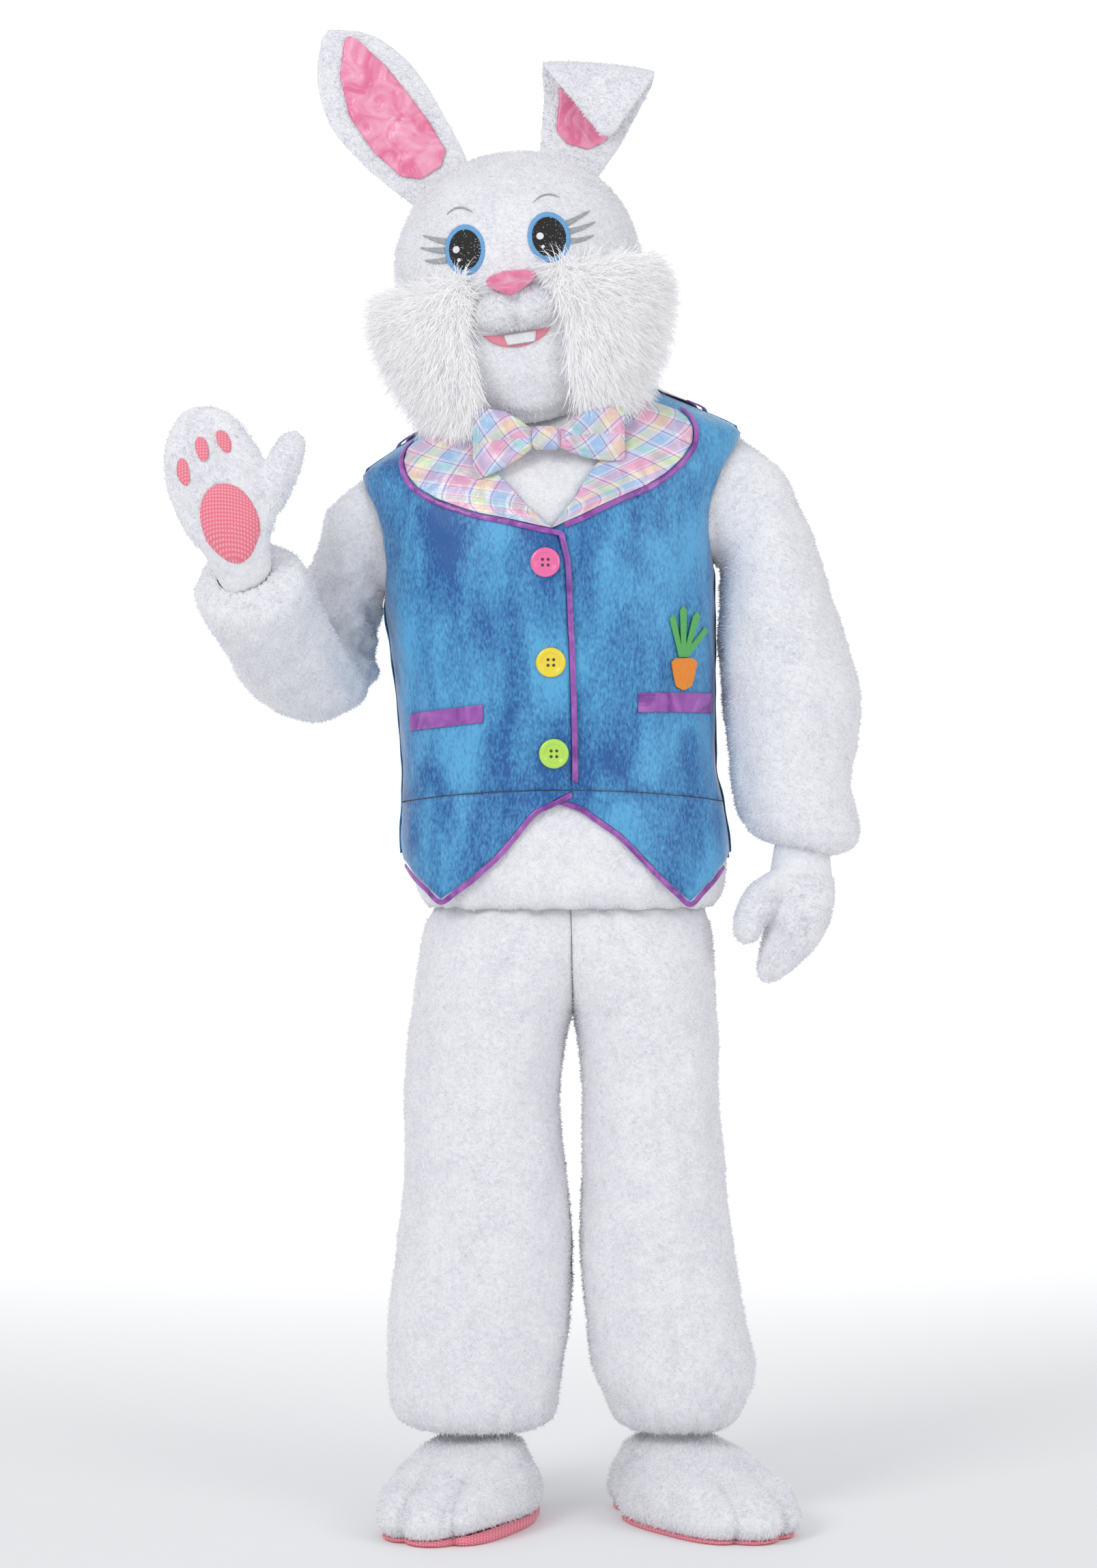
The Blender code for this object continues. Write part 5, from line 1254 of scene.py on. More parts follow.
Lash = namedtuple("Lash", "root_angle reach bend")
LASHES = [Lash(28, 33, 5), Lash(8, 34, 6), Lash(-14, 30, 7)]
EYE_COLUMNS = 64
RING_SHARES = [0.79, 0.80, 0.84, 0.92, 0.98, 1.0, 0.98, 0.79, 0.79]
RING_LIFTS = [1.4, 2.0, 2.5, 2.5, 2.0, 1.4, 1.0, 1.0, 1.4]
MESH_SHARE = 0.8
Dot = namedtuple("Dot", "name x z radius")
DOTS = [Dot("eye_dot", -11, 2, 4.6), Dot("eye_dot_low", -9, -12, 2.2)]
for name, side in (("right", -1), ("left", 1)):
    middle_x = FACE_MIDDLE + side * EYE_ACROSS
    centre = (middle_x, EYE_HEIGHT)
    rings = patch_on_face(oval(centre, EYE_HALF_WIDTH, EYE_HALF_HEIGHT, EYE_COLUMNS), centre, RING_SHARES,
                          RING_LIFTS)
    closed_piece(f"eye_ring_{name}", rings, sky_felt, "felt_sky", f"eye_ring_{name}")
    inner = oval(centre, EYE_HALF_WIDTH * MESH_SHARE, EYE_HALF_HEIGHT * MESH_SHARE, EYE_COLUMNS)
    felt_patch(f"eye_mesh_{name}", inner, centre, 0.8, 1.0, black_mesh, "mesh_black", f"eye_mesh_{name}")
    for dot in DOTS:
        spot = (middle_x + dot.x, EYE_HEIGHT + dot.z)
        outline = oval(spot, dot.radius, dot.radius, EYE_COLUMNS)
        felt_patch(f"{dot.name}_{name}", outline, spot, 1.6, 1.1, white_felt, "felt_white")
    for index, lash in enumerate(LASHES):
        share = np.linspace(0, 1, 12)
        start = radians(lash.root_angle)
        way = start * 0.5 + 0.1
        line_x = middle_x + side * EYE_HALF_WIDTH * cos(start) + side * lash.reach * cos(way) * share
        line_z = EYE_HEIGHT + EYE_HALF_HEIGHT * sin(start) + lash.reach * sin(way) * share
        half = 4.0 * (1 - share) ** 0.6 + 0.25
        felt_strip(f"lash_{name}_{index}", line_x, line_z + lash.bend * share**2, half, (-1, -0.5, 0, 0.5, 1),
                   lift=1.2, rise=0.5, thickness=0.6)
    share = np.linspace(-1, 1, 17)
    line_x = middle_x + side * (2 + 17 * share)
    line_z = EYE_HEIGHT + EYE_HALF_HEIGHT + 24 - 8 * share**2 + 2 * share
    half = 1.1 * (1 - share**4) + 0.15
    felt_strip(f"brow_{name}", line_x, line_z, half, (-1, 0, 1), lift=1.0, rise=0.3, thickness=0.5)


# Muzzle, nose and mouth
# The muzzle is one padded plush form with a groove down its middle. The nose is padded pink satin over
# its top, and below it lie a curved pink lip and a square white tooth of felt.

MUZZLE_HEIGHT = -61.0
MUZZLE_DEPTH = 30.0
NOSE_HEIGHT = -28.0
NOSE_DEPTH = 31.0
LIP_TOP = -94.0

turn = round_turns(72)
x = FACE_MIDDLE + np.cos(turn) * 50 * (1 + 0.05 * np.cos(2 * turn))
z = MUZZLE_HEIGHT + np.sin(turn) * 28 - 3 * np.abs(np.cos(turn))
shares = np.concatenate([np.linspace(0, 0.8, 13), [0.86, 0.91, 0.95, 0.975, 0.99, 1.0]])
lifts = []
for share in shares:
    spot_x, spot_z = (x - FACE_MIDDLE) * share, (z - MUZZLE_HEIGHT) * share
    groove = 9 * np.exp(-((spot_x / 8) ** 2)) * ease(16, 6, spot_z)
    dome = 1.5 + MUZZLE_DEPTH * np.sqrt(max(0, 1 - share**2.2))
    lifts.append(dome - groove * (1 - ease(0.8, 1, share)))
shares = [*shares, 1.0, 0.6, 0.0]
lifts += [0.8, 0.8, 0.8]
rings = patch_on_face((x, z), (FACE_MIDDLE, MUZZLE_HEIGHT), shares, lifts)
item = closed_piece("muzzle", rings, plush, "plush_white", "muzzle")
turned = (outward(rings[3:17], True) * (rings[3:17] - rings[0, 0])).sum() < 0
tips_on("muzzle_pile", rings[1:19], count=9000, length=4.5, seed=81, around=True, turned=turned)

half = [(0, -50), (10, -45), (21, -37), (30, -29), (31, -22), (22, -17), (8, -15)]
outline = np.array(half + [(-across, height) for across, height in half[:0:-1]], float)
outline = weave_between(outline, 6, True)
x, z = outline[:, 0] + FACE_MIDDLE, outline[:, 1]
shares = [0, 0.15, 0.3, 0.45, 0.6, 0.75, 0.87, 0.95, 1.0, 1.0, 0.7, 0.35, 0]
rises = [12, 12, 11.8, 11.2, 10.2, 8.8, 6.8, 4.8, 2.6, 0, 0, 0, 0]
lifts = []
for share, rise in zip(shares, rises):
    spot_x, spot_z = (x - FACE_MIDDLE) * share, NOSE_HEIGHT + (z - NOSE_HEIGHT) * share
    lifts.append(0.9 + NOSE_DEPTH * ease(24, 41, -spot_z) * np.exp(-((spot_x / 40) ** 4)) + rise)
rings = patch_on_face((x, z), (FACE_MIDDLE, NOSE_HEIGHT), shares, lifts)
item = closed_piece("nose", rings, pink_satin, "satin_pink", "nose")

across = np.linspace(-1, 1, 41)
upper = np.stack([FACE_MIDDLE - 2 + across * 43, LIP_TOP + 3 * across**2], -1)
lower = upper - np.stack([0 * across, 17 * (1 - across**2) ** 0.7], -1)
grid = np.array([
    face(*(upper * (1 - part) + lower * part).T, 2.4 + 1.2 * sin(pi * part)) for part in np.linspace(1, 0, 9)
])
rosy = felt_material("pink lip felt", (0.88, 0.30, 0.38))
cloth("lip", grid, rosy, "satin_pink", "lip", thickness=1.4)
across = np.linspace(-1, 1, 15)


def tooth_rows(widths_and_drops, lift):
    """Level rows of the tooth, each at its own half width and drop below the lip's top."""
    return np.array([
        face(FACE_MIDDLE + 1 + across * width, LIP_TOP + drop, lift) for width, drop in widths_and_drops
    ])


grid = tooth_rows(((16, -12.6), (17.3, -12), (18.2, -9), (19, -6), (19.5, -3), (20, 0)), 5.0)
cloth("tooth", grid, white_felt, "felt_white", "tooth", thickness=1.6)
grid = tooth_rows(((16.6, -13.6), (16.4, -12.4)), 5.3)
add_wall(piece("tooth_edge", surface_mesh("tooth_edge", grid), grey_felt, "felt_white"), 0.5)


# Cheek fur
# Long white shag sewn to both sides of the face. The hair grows from a padded base, runs outwards and
# down, and parts into locks whose tips stand clear of the mask.

Tuft = namedtuple("Tuft", "angle turn height rim")
CHEEK = [
    Tuft(0, 82, -70, 14),
    Tuft(25, 80, -30, 14),
    Tuft(50, 66, -8, 12),
    Tuft(80, 46, -12, 7),
    Tuft(105, 31, -16, 5),
    Tuft(130, 20, -10, 4),
    Tuft(155, 17, -30, 4),
    Tuft(180, 21, -52, 5),
    Tuft(215, 22, -96, 8),
    Tuft(240, 25, -122, 12),
    Tuft(265, 34, -138, 16),
    Tuft(290, 50, -152, 18),
    Tuft(315, 68, -150, 18),
    Tuft(340, 80, -112, 16),
    Tuft(360, 82, -70, 14),
]

CHEEK_MIDDLE = (50.0, -72.0)
CHEEK_DEPTH = 34.0
HAIR_COUNT = 17000
HAIR_SHARE = 0.65
HAIR_LENGTH = (30, 58)
HAIR_HALF_WIDTH = 0.75
LOCKS = 240

# The hair's emission is a painted glow that lightens the white shag; it is no lamp.
hair, tree, shader = new_material("white shag hair with painted glow", roughness=0.6, Sheen_Weight=0.5, Emission_Strength=0.07)
shader.inputs["Emission Color"].default_value = (1, 0.98, 0.98, 1)
locks = noise(tree, object_place(tree), scale=45, detail=3, distortion=0.5)
colour_between(tree, shader, spread(tree, locks, 0.3, 0.7), (0.93, 0.93, 0.95, 1), (1.0, 0.99, 0.99, 1))


def cheek_point(side, angle, share, lift_share):
    """Local point over a cheek, at a share of the way from its middle to its outline."""
    angle = np.asarray(angle, float) % 360
    turn, height, rim = (
        through(column(CHEEK, "angle"), column(CHEEK, key), angle) for key in ("turn", "height", "rim")
    )
    turn = CHEEK_MIDDLE[0] + (turn - CHEEK_MIDDLE[0]) * share
    height = CHEEK_MIDDLE[1] + (height - CHEEK_MIDDLE[1]) * share
    dome = 5 + rim + (CHEEK_DEPTH - rim) * (1 - share**2)
    return local_face(side * turn, height, dome * lift_share)


for name, side, seed in (("right", -1, 91), ("left", 1, 93)):
    angle = np.arange(72) * 5.0
    rings = [
        in_room(cheek_point(side, angle, share, lift))
        for lift, shares in ((0.38, (0, 0.2, 0.4, 0.6, 0.75, 0.84, 0.9)), (0.15, (0.9, 0.6, 0)))
        for share in shares
    ]
    item = closed_piece(f"cheek_fur_{name}", rings, plush, "fur_white", f"cheek_fur_{name}")
    rng = np.random.default_rng(seed)
    count = int(HAIR_COUNT * HAIR_SHARE)
    root_share = np.sqrt(rng.uniform(0, 0.92, count))
    root_angle = rng.uniform(0, 360, count)
    lock = rng.integers(0, LOCKS, count)
    lock_way = rng.normal(0, 0.3, (LOCKS, 2))
    root = cheek_point(side, root_angle, root_share, 0.36)
    over = cheek_point(side, root_angle, root_share, 0.5)
    up = unit(over - root)
    outer = np.clip((side * root[:, 0] - 35) / 100, 0, 1)
    low = ease(20, 110, -root[:, 2])
    flow = np.stack([side * (1.15 * outer - 0.3), 0 * outer - 0.1, 0.1 - 0.75 * low - 0.5 * (1 - outer)], -1)
    stray = np.stack([lock_way[lock, 0], 0 * outer, lock_way[lock, 1]], -1)
    flow = unit(flow + stray + rng.normal(0, 0.16, (count, 3)))
    length = rng.uniform(*HAIR_LENGTH, (count, 1)) * (0.75 + 0.25 * root_share[:, None])
    share = np.linspace(0, 1, 5)[None, :, None]
    rise = up[:, None] * (11 * np.sin(share * pi * 0.75))
    fall = np.array([0, 0, -7.0]) * share**2
    curl = rng.normal(0, 2.2, (count, 1, 3)) * np.sin(share * pi * 1.2)
    path = root[:, None] + flow[:, None] * length[:, None] * share * 0.85 + rise + fall + curl
    edge = unit(np.cross(flow, up + rng.normal(0, 0.5, up.shape)))[:, None]
    edge = edge * (HAIR_HALF_WIDTH * (1 - 0.8 * share))
    sides = np.stack([path - edge, path + edge], 2)[:, :4].reshape(count, 8, 3)
    points = in_room(np.concatenate([sides, path[:, 4:]], 1))
    spot = np.arange(count)[:, None] * 9
    quads = np.array([[0, 1, 3, 2], [2, 3, 5, 4], [4, 5, 7, 6]])
    faces = (spot[:, None] + quads).reshape(-1, 4).tolist() + (spot + [6, 7, 8]).tolist()
    mesh = bpy.data.meshes.new(f"cheek_hair_{name}")
    mesh.from_pydata((points.reshape(-1, 3) / 1000 + [0, 0, FLOOR]).tolist(), [], faces)
    mesh.shade_smooth()
    piece(f"cheek_hair_{name}", mesh, hair, "fur_white")


# Mitts
# Each mitt is a plush palm and back with a thumb sewn in, open at the wrist, which tucks into the sleeve's
# elastic. Seam lines mark the fingers, and pads of dotted pink fabric are sewn on the palm side.

Palm = namedtuple("Palm", "x y z half_width half_depth lean")
RAISED_MITT = [
    Palm(-381, -176, 1218, 26, 26, 12),
    Palm(-387, -195, 1235, 29, 27, 14),
    Palm(-392, -212, 1256, 42, 29, 16),
    Palm(-399, -223, 1288, 57, 29, 18),
    Palm(-411, -231, 1325, 62, 28, 19),
    Palm(-422, -236, 1360, 62, 26, 19),
    Palm(-431, -239, 1392, 53, 22, 20),
    Palm(-438, -240, 1416, 37, 16, 20),
    Palm(-442, -240, 1430, 18, 9, 20),
]
RAISED_THUMB = [
    Palm(-392, -222, 1290, 18, 14, -5),
    Palm(-362, -226, 1308, 22, 17, -25),
    Palm(-343, -231, 1338, 22, 19, -12),
    Palm(-330, -235, 1368, 21, 18, -10),
    Palm(-321, -238, 1391, 16, 14, -8),
    Palm(-318, -239, 1400, 8, 7, -8),
]
HANGING_MITT = [
    Palm(333, -31, 896, 27, 27, 0),
    Palm(332, -33, 874, 28, 28, 0),
    Palm(330, -40, 848, 40, 30, 0),
    Palm(330, -47, 820, 43, 30, 3),
    Palm(325, -54, 790, 42, 29, 8),
    Palm(314, -60, 762, 36, 26, 14),
    Palm(300, -65, 738, 27, 21, 20),
    Palm(287, -68, 718, 18, 15, 26),
    Palm(279, -70, 705, 9, 8, 28),
]
HANGING_THUMB = [
    Palm(312, -50, 838, 18, 18, 30),
    Palm(287, -62, 824, 22, 20, 40),
    Palm(270, -72, 802, 22, 20, 28),
    Palm(260, -78, 780, 20, 18, 15),
    Palm(256, -81, 762, 15, 13, 10),
    Palm(254, -82, 754, 7, 6, 10),
]
Pad = namedtuple("Pad", "name ring_share across half_along half_across")
PADS = [
    Pad("palm", 3.1, 0.0, 38, 36),
    Pad("finger_outer", 5.1, -0.6, 14, 8),
    Pad("finger_middle", 5.7, -0.1, 14, 8),
    Pad("finger_inner", 5.75, 0.42, 14, 8),
]


def middle_line(table):
    """Points down the middle of a mitt or thumb."""
    return np.array([[row.x, row.y, row.z] for row in table], float)


def mitt_point(table, share, across, lift, facing):
    """Point on the palm side of a mitt, at a share of its rings and across from -1 to 1."""
    middles = middle_line(table)
    way = unit(points_along(unit(np.gradient(middles, axis=0)), share))
    lean, wide, deep = values_along(table, share, "lean", "half_width", "half_depth")
    side = np.array([cos(radians(lean)), 0, sin(radians(lean))])
    side = unit(side - way * (side @ way))
    front = unit(np.cross(side, way)) * facing
    front = front if facing * front[1] < 0 else -front
    bulge = np.sqrt(max(0, 1 - across**2))
    return points_along(middles, share) + side * wide * across + front * (deep * bulge + lift)


def limb_rings(table, count):
    """Ellipses square to the limb's middle line, each turned by its lean."""
    rows = weave_between(np.array(table, float), 5, False)
    middles = rows[:, :3]
    way = unit(np.gradient(middles, axis=0))
    lean = np.radians(rows[:, 5])
    side = np.stack([np.cos(lean), 0 * lean, np.sin(lean)], -1)
    side = unit(side - way * (side * way).sum(-1, keepdims=True))
    front = unit(np.cross(side, way))
    angle = round_turns(count)[None, :, None]
    wide, deep = rows[:, None, 3:4], rows[:, None, 4:5]
    across, ahead = np.cos(angle) * side[:, None] * wide, np.sin(angle) * front[:, None] * deep
    return middles[:, None] + across + ahead


VOXEL_SIZE = 0.0032


def joined_limbs(name, *grids):
    """One skin round several closed forms, from a voxel remesh of them all."""
    shape = bmesh.new()
    for index, grid in enumerate(grids):
        closed = closed_ends(grid)
        closed[-1] = closed[-1] + unit(closed[-1] - closed[-4].mean(0)) * 5
        shape.from_mesh(surface_mesh(f"{name}_{index}", closed, around=True, closed=True))
    mesh = bpy.data.meshes.new(name)
    shape.to_mesh(mesh)
    shape.free()
    helper = bpy.data.objects.new(f"{name}_shape", mesh)
    scene.collection.objects.link(helper)
    skin = helper.modifiers.new("Skin", "REMESH")
    skin.mode = "VOXEL"
    skin.voxel_size = VOXEL_SIZE
    smooth = helper.modifiers.new("Smooth", "SMOOTH")
    smooth.factor = 0.5
    smooth.iterations = 6
    bpy.context.view_layer.update()
    made = bpy.data.meshes.new_from_object(helper.evaluated_get(bpy.context.evaluated_depsgraph_get()))
    made.name = name
    bpy.data.objects.remove(helper)
    return made


def numbers_of(vertices, key):
    """Points or normals of a mesh, three numbers to a row."""
    found = np.empty(len(vertices) * 3)
    vertices.foreach_get(key, found)
    return found.reshape(-1, 3)


FINGER_LINES = (-0.33, 0.22)
FINGER_LINE_RINGS = (4.6, 7.6)
LINE_DEPTH = 3.6
LINE_WIDTH = 4.5
MITT_SIDES = 40
THUMB_SIDES = 28
TUCKED_IN = 22.0
CUFF_FILL = 8.0
WRIST_CUT = 3.0
PAD_COLUMNS = 36
WIDEST_PALM_PAD = 0.7
WIDEST_FINGER_PAD = 0.19
PAD_SIZES = ((0.0, 4.2), (0.5, 4.1), (0.8, 3.7), (0.94, 3.0), (1.0, 2.2), (1.0, 1.4), (0.5, 1.4), (0.0, 1.4))
for name, main, thumb, out, facing, seed in (
    ("right", RAISED_MITT, RAISED_THUMB, unit([0.24, 0.75, -0.6]), 1, 101),
    ("left", HANGING_MITT, HANGING_THUMB, np.array([0, 0, 1.0]), -1, 103),
):
    centres = middle_line(main)
    start = centres[0] + out * TUCKED_IN
    wide, deep = main[0].half_width + CUFF_FILL, main[0].half_depth + CUFF_FILL
    wrist = Palm(main[0].x, main[0].y, main[0].z, wide, deep, main[0].lean)
    limb_table = [Palm(*start, wide, deep, main[0].lean), wrist, *main[2:]]
    mesh = joined_limbs(f"mitt_{name}", limb_rings(limb_table, MITT_SIDES), limb_rings(thumb, THUMB_SIDES))
    points = (numbers_of(mesh.vertices, "co") - [0, 0, FLOOR]) * 1000
    normals = numbers_of(mesh.vertices, "normal")
    steps = np.linspace(*FINGER_LINE_RINGS, 30)
    for line in FINGER_LINES:
        on_palm, mirrored = (
            np.array([mitt_point(main, step, across, 0, facing) for step in steps])
            for across in (line, -line)
        )
        for path in (on_palm, 2 * points_along(centres, steps) - mirrored):
            near = np.linalg.norm(points[:, None] - path[None], axis=-1).min(1)
            points = points - normals * (LINE_DEPTH * np.exp(-((near / LINE_WIDTH) ** 2)))[:, None]
    points = points + normals * (0.8 * ripple(points, length=45, seed=seed))[:, None]
    mesh.vertices.foreach_set("co", (points / 1000 + [0, 0, FLOOR]).ravel())
    shape = bmesh.new()
    shape.from_mesh(mesh)
    wrist_end = [
        vertex for vertex in shape.verts
        if (np.array(vertex.co) * 1000 - [0, 0, FLOOR * 1000] - start) @ out > -WRIST_CUT
    ]
    bmesh.ops.delete(shape, geom=wrist_end, context="VERTS")
    shape.to_mesh(mesh)
    shape.free()
    mesh.shade_smooth()
    item = piece(f"mitt_{name}", mesh, plush, "plush_white", f"mitt_{name}")
    add_wall(item, thickness=3)
    steps_along = np.linalg.norm(np.diff(centres, axis=0), axis=1)
    limb = limb_rings(main, MITT_SIDES)
    inward = (outward(limb, True)[3:-3] * (limb[3:-3] - limb[3:-3].mean(1, keepdims=True))).sum() < 0
    tips_on(f"mitt_{name}_pile", limb[12:], count=15000, length=4.5, seed=seed + 1, around=True,
            turned=inward)
    limb = limb_rings(thumb, THUMB_SIDES)
    tips_on(f"thumb_{name}_pile", limb[6:], count=5000, length=4.5, seed=seed + 2, around=True, turned=inward)
    for pad in PADS:
        turn = round_turns(PAD_COLUMNS)
        widest = WIDEST_PALM_PAD if pad.name == "palm" else WIDEST_FINGER_PAD
        rows = []
        for size, lift in PAD_SIZES:
            row = []
            for spot_x, spot_z in zip(np.cos(turn) * size, np.sin(turn) * size):
                share = pad.ring_share + spot_z * pad.half_along / steps_along.mean()
                wide = values_along(main, share, "half_width")[0]
                half = min(pad.half_across, wide * widest) / wide
                row.append(mitt_point(main, share, pad.across + spot_x * half, lift, facing))
            rows.append(row)
        pad_name = f"pad_{pad.name}_{name}"
        item = closed_piece(pad_name, rows, dotted, "dotted_pink", pad_name)


# Vest
# The vest is crushed blue velour: two fronts and a back over the tunic, with pointed peplums sewn on below
# the waist seam. The pile lies in random directions, and its colour holds painted sheen and painted shade.


def velour_group():
    """Crushed velour: warped patches of painted sheen and shade as a mask, and as height with a fine nap over
    them.
    """
    group = bpy.data.node_groups.new("crushed velour", "ShaderNodeTree")
    add_socket(group, "Place", "NodeSocketVector", "INPUT")
    add_socket(group, "Painted_sheen", "NodeSocketFloat", "OUTPUT")
    add_socket(group, "Height", "NodeSocketFloat", "OUTPUT")
    start, end = group.nodes.new("NodeGroupInput"), group.nodes.new("NodeGroupOutput")
    stretch = group.nodes.new("ShaderNodeVectorMath")
    stretch.operation = "MULTIPLY"
    stretch.inputs[1].default_value = (1, 1, 0.45)
    group.links.new(start.outputs["Place"], stretch.inputs[0])
    patches = noise(group, stretch.outputs[0], scale=13, detail=3, distortion=0.5)
    streaks = noise(group, stretch.outputs[0], scale=330, detail=4, distortion=0.4)
    patches = calculate(group, "MULTIPLY", patches, 0.62)
    both = calculate(group, "ADD", patches, calculate(group, "MULTIPLY", streaks, 0.38))
    # Painted sheen in the lighter patches and streaks, painted shade in the others.
    group.links.new(spread(group, both, 0.40, 0.61), end.inputs["Painted_sheen"])
    nap = noise(group, start.outputs["Place"], scale=900, detail=2)
    together = calculate(group, "ADD", both, calculate(group, "MULTIPLY", nap, 0.12))
    group.links.new(together, end.inputs["Height"])
    return group


velour = velour_group()
blue_velour, tree, shader = new_material(
    "crushed blue velour", roughness=0.42, Sheen_Weight=0.6, Sheen_Roughness=0.35
)
crushed = use_group(tree, velour, object_place(tree))
# Deep blue is painted shade and light blue is painted sheen on the crushed pile.
colour_between(tree, shader, crushed.outputs["Painted_sheen"], (0.008, 0.10, 0.34, 1), (0.10, 0.42, 0.74, 1))
add_bump(tree, shader, crushed.outputs["Height"], strength=0.55, distance=0.004)

Front = namedtuple("Front", "level right_x left_x")
FRONT_EDGE = [
    Front(937, 30, 8),
    Front(1060, 28, 7),
    Front(1180, 23, 4),
    Front(1250, 19, 2),
    Front(1284, 6, 2),
    Front(1297, -8, 12),
    Front(1314, -24, 28),
    Front(1342, -46, 46),
    Front(1368, -69, 67),
    Front(1421, -97, 98),
    Front(1450, -101, 101),
    Front(1470, -92, 93),
]

VEST_INNER = 3.8
VEST_CLOTH = 1.5
BACK_EASE = 2.4
OVERLAP = 3.4
WAIST = 937.0
WAIST_RISE = 15.0


def overlap_rise(x, level):
    """The right front rises over the left one beside the closing edge."""
    return OVERLAP * ease(-42, -14, x) * (1 - ease(1296, 1320, level))


def vest_front(side, levels, columns):
    """Turns and levels of a vest front, from its closing edge to its armhole."""
    outer = side * armhole_turn(VEST_ARMHOLE, levels)
    edge = level_value(FRONT_EDGE, "left_x" if side > 0 else "right_x", levels)
    inner = turn_at(levels, edge)
    first, last = (inner, outer) if side > 0 else (outer, inner)
    turns, rows = half_panel(levels, first, last, columns)
    return turns, rows + WAIST_RISE * np.cos(np.radians(turns)) ** 2 * (1 - ease(WAIST, 1100, rows))


def vest_lift(turns, levels, side):
    """How far the outside of a vest front lies off the body."""
    if side > 0:
        return VEST_INNER + VEST_CLOTH + 0 * turns
    return VEST_INNER + VEST_CLOTH + overlap_rise(torso(turns, levels)[..., 0], levels)


Hem = namedtuple("Hem", "x level")
RIGHT_HEM = [
    Hem(-190, 870),
    Hem(-168, 842),
    Hem(-136, 812),
    Hem(-101, 838),
    Hem(-68, 868),
    Hem(-20, 925),
    Hem(28, 950),
]
LEFT_HEM = [
    Hem(8, 944),
    Hem(44, 931),
    Hem(93, 896),
    Hem(151, 836),
    Hem(180, 809),
    Hem(208, 838),
    Hem(233, 870),
]


def hem_line(hem, count):
    """Points along a peplum's lower edge, as x and level."""
    where = np.linspace(0, len(hem) - 1, count)
    return values_along(hem, where, "x", "level")


def creased(grid, strength, seed):
    """Soft creases pressed outwards only, so that the cloth keeps clear of what it lies on."""
    return puffed(grid, strength * (1 + ripple(grid, length=42, seed=seed)))


VEST_TOP = 1470.0
HEM_SIDE = 870.0
for name, side, seed in (("right", -1, 111), ("left", 1, 113)):
    turns, levels = vest_front(side, fine(WAIST, VEST_TOP, 7), 60)
    grid = torso(turns, levels, vest_lift(turns, levels, side), HANG) + [0, -SEAM, 0]
    cloth(f"vest_front_{name}", creased(grid, 0.5, seed), blue_velour, "velour_blue", f"vest_front_{name}",
          thickness=VEST_CLOTH)
    edge_x, edge_level = hem_line(RIGHT_HEM if side < 0 else LEFT_HEM, 73)
    turns = turn_at(edge_level, edge_x, HANG)
    turns[-1 if side > 0 else 0] = side * 90
    seam = WAIST - 1.5 + WAIST_RISE * np.cos(np.radians(turns)) ** 2
    levels = edge_level + (np.maximum(seam, edge_level + 1) - edge_level) * np.linspace(0, 1, 18)[:, None]
    turns = turns + 0 * levels
    rise = overlap_rise(torso(turns, levels, 0, HANG)[..., 0], levels) * (side < 0)
    grid = torso(turns, levels, VEST_INNER + VEST_CLOTH + rise, HANG) + [0, -SEAM, 0]
    cloth(f"peplum_{name}", creased(grid, 0.6, seed + 1), blue_velour, "velour_blue", f"peplum_{name}",
          thickness=VEST_CLOTH)
levels = fine(HEM_SIDE, VEST_TOP, 8)
reach = armhole_turn(VEST_ARMHOLE, levels)
turns, rows = half_panel(levels, 180 - reach, 180 + reach, 90)
grid = torso(turns, rows, VEST_INNER + VEST_CLOTH + BACK_EASE, HANG) + [0, SEAM, 0]
cloth("vest_back", creased(grid, 0.6, 115), blue_velour, "velour_blue", "vest_back", thickness=VEST_CLOTH)


# Lapels and collar
# Wide shawl lapels and a flat collar of pastel plaid satin lie over the vest. The plaid is a common
# pattern of crossing bands, cut on a slant, and the satin creases softly.


def stripe(tree, value, start, end):
    """1 where the value, which runs from 0 to 1 across a repeat, lies between start and end."""
    after, before = calculate(tree, "GREATER_THAN", value, start), calculate(tree, "LESS_THAN", value, end)
    return calculate(tree, "MULTIPLY", after, before)


PLAID_REPEAT = 0.062
PLAID_SLANT = 38
PLAID_GROUND = (0.90, 0.86, 0.88)
PLAID_LINE = (0.42, 0.20, 0.62)
LINE_STARTS = (0.31, 0.62, 0.94)
LINE_SHARE = 0.03
Band = namedtuple("Band", "colour low high")
BANDS = {
    "X": [
        Band((0.93, 0.42, 0.60), 0.0, 0.26),
        Band((0.95, 0.86, 0.42), 0.36, 0.56),
        Band((0.40, 0.62, 0.90), 0.66, 0.88),
    ],
    "Y": [
        Band((0.93, 0.50, 0.66), 0.05, 0.3),
        Band((0.50, 0.84, 0.70), 0.42, 0.6),
        Band((0.46, 0.66, 0.92), 0.7, 0.92),
    ],
}


def plaid_group():
    """Crossing bands of pink, yellow, blue and mint on a repeat of 62 mm, with thin purple lines."""
    group = bpy.data.node_groups.new("pastel plaid", "ShaderNodeTree")
    add_socket(group, "Place", "NodeSocketVector", "INPUT")
    add_socket(group, "Colour", "NodeSocketColor", "OUTPUT")
    start, end = group.nodes.new("NodeGroupInput"), group.nodes.new("NodeGroupOutput")
    axes = group.nodes.new("ShaderNodeSeparateXYZ")
    group.links.new(start.outputs["Place"], axes.inputs[0])
    halves = []
    for axis, bands in BANDS.items():
        repeats = calculate(group, "MULTIPLY", axes.outputs[axis], 1 / PLAID_REPEAT)
        across = calculate(group, "FRACT", repeats, 0)
        colour = (*PLAID_GROUND, 1)
        for band in bands:
            colour = mix_colours(group, stripe(group, across, band.low, band.high), colour, (*band.colour, 1))
        for low in LINE_STARTS:
            line = stripe(group, across, low, low + LINE_SHARE)
            colour = mix_colours(group, line, colour, (*PLAID_LINE, 1))
        halves.append(colour)
    group.links.new(mix_colours(group, 0.5, *halves), end.inputs["Colour"])
    return group


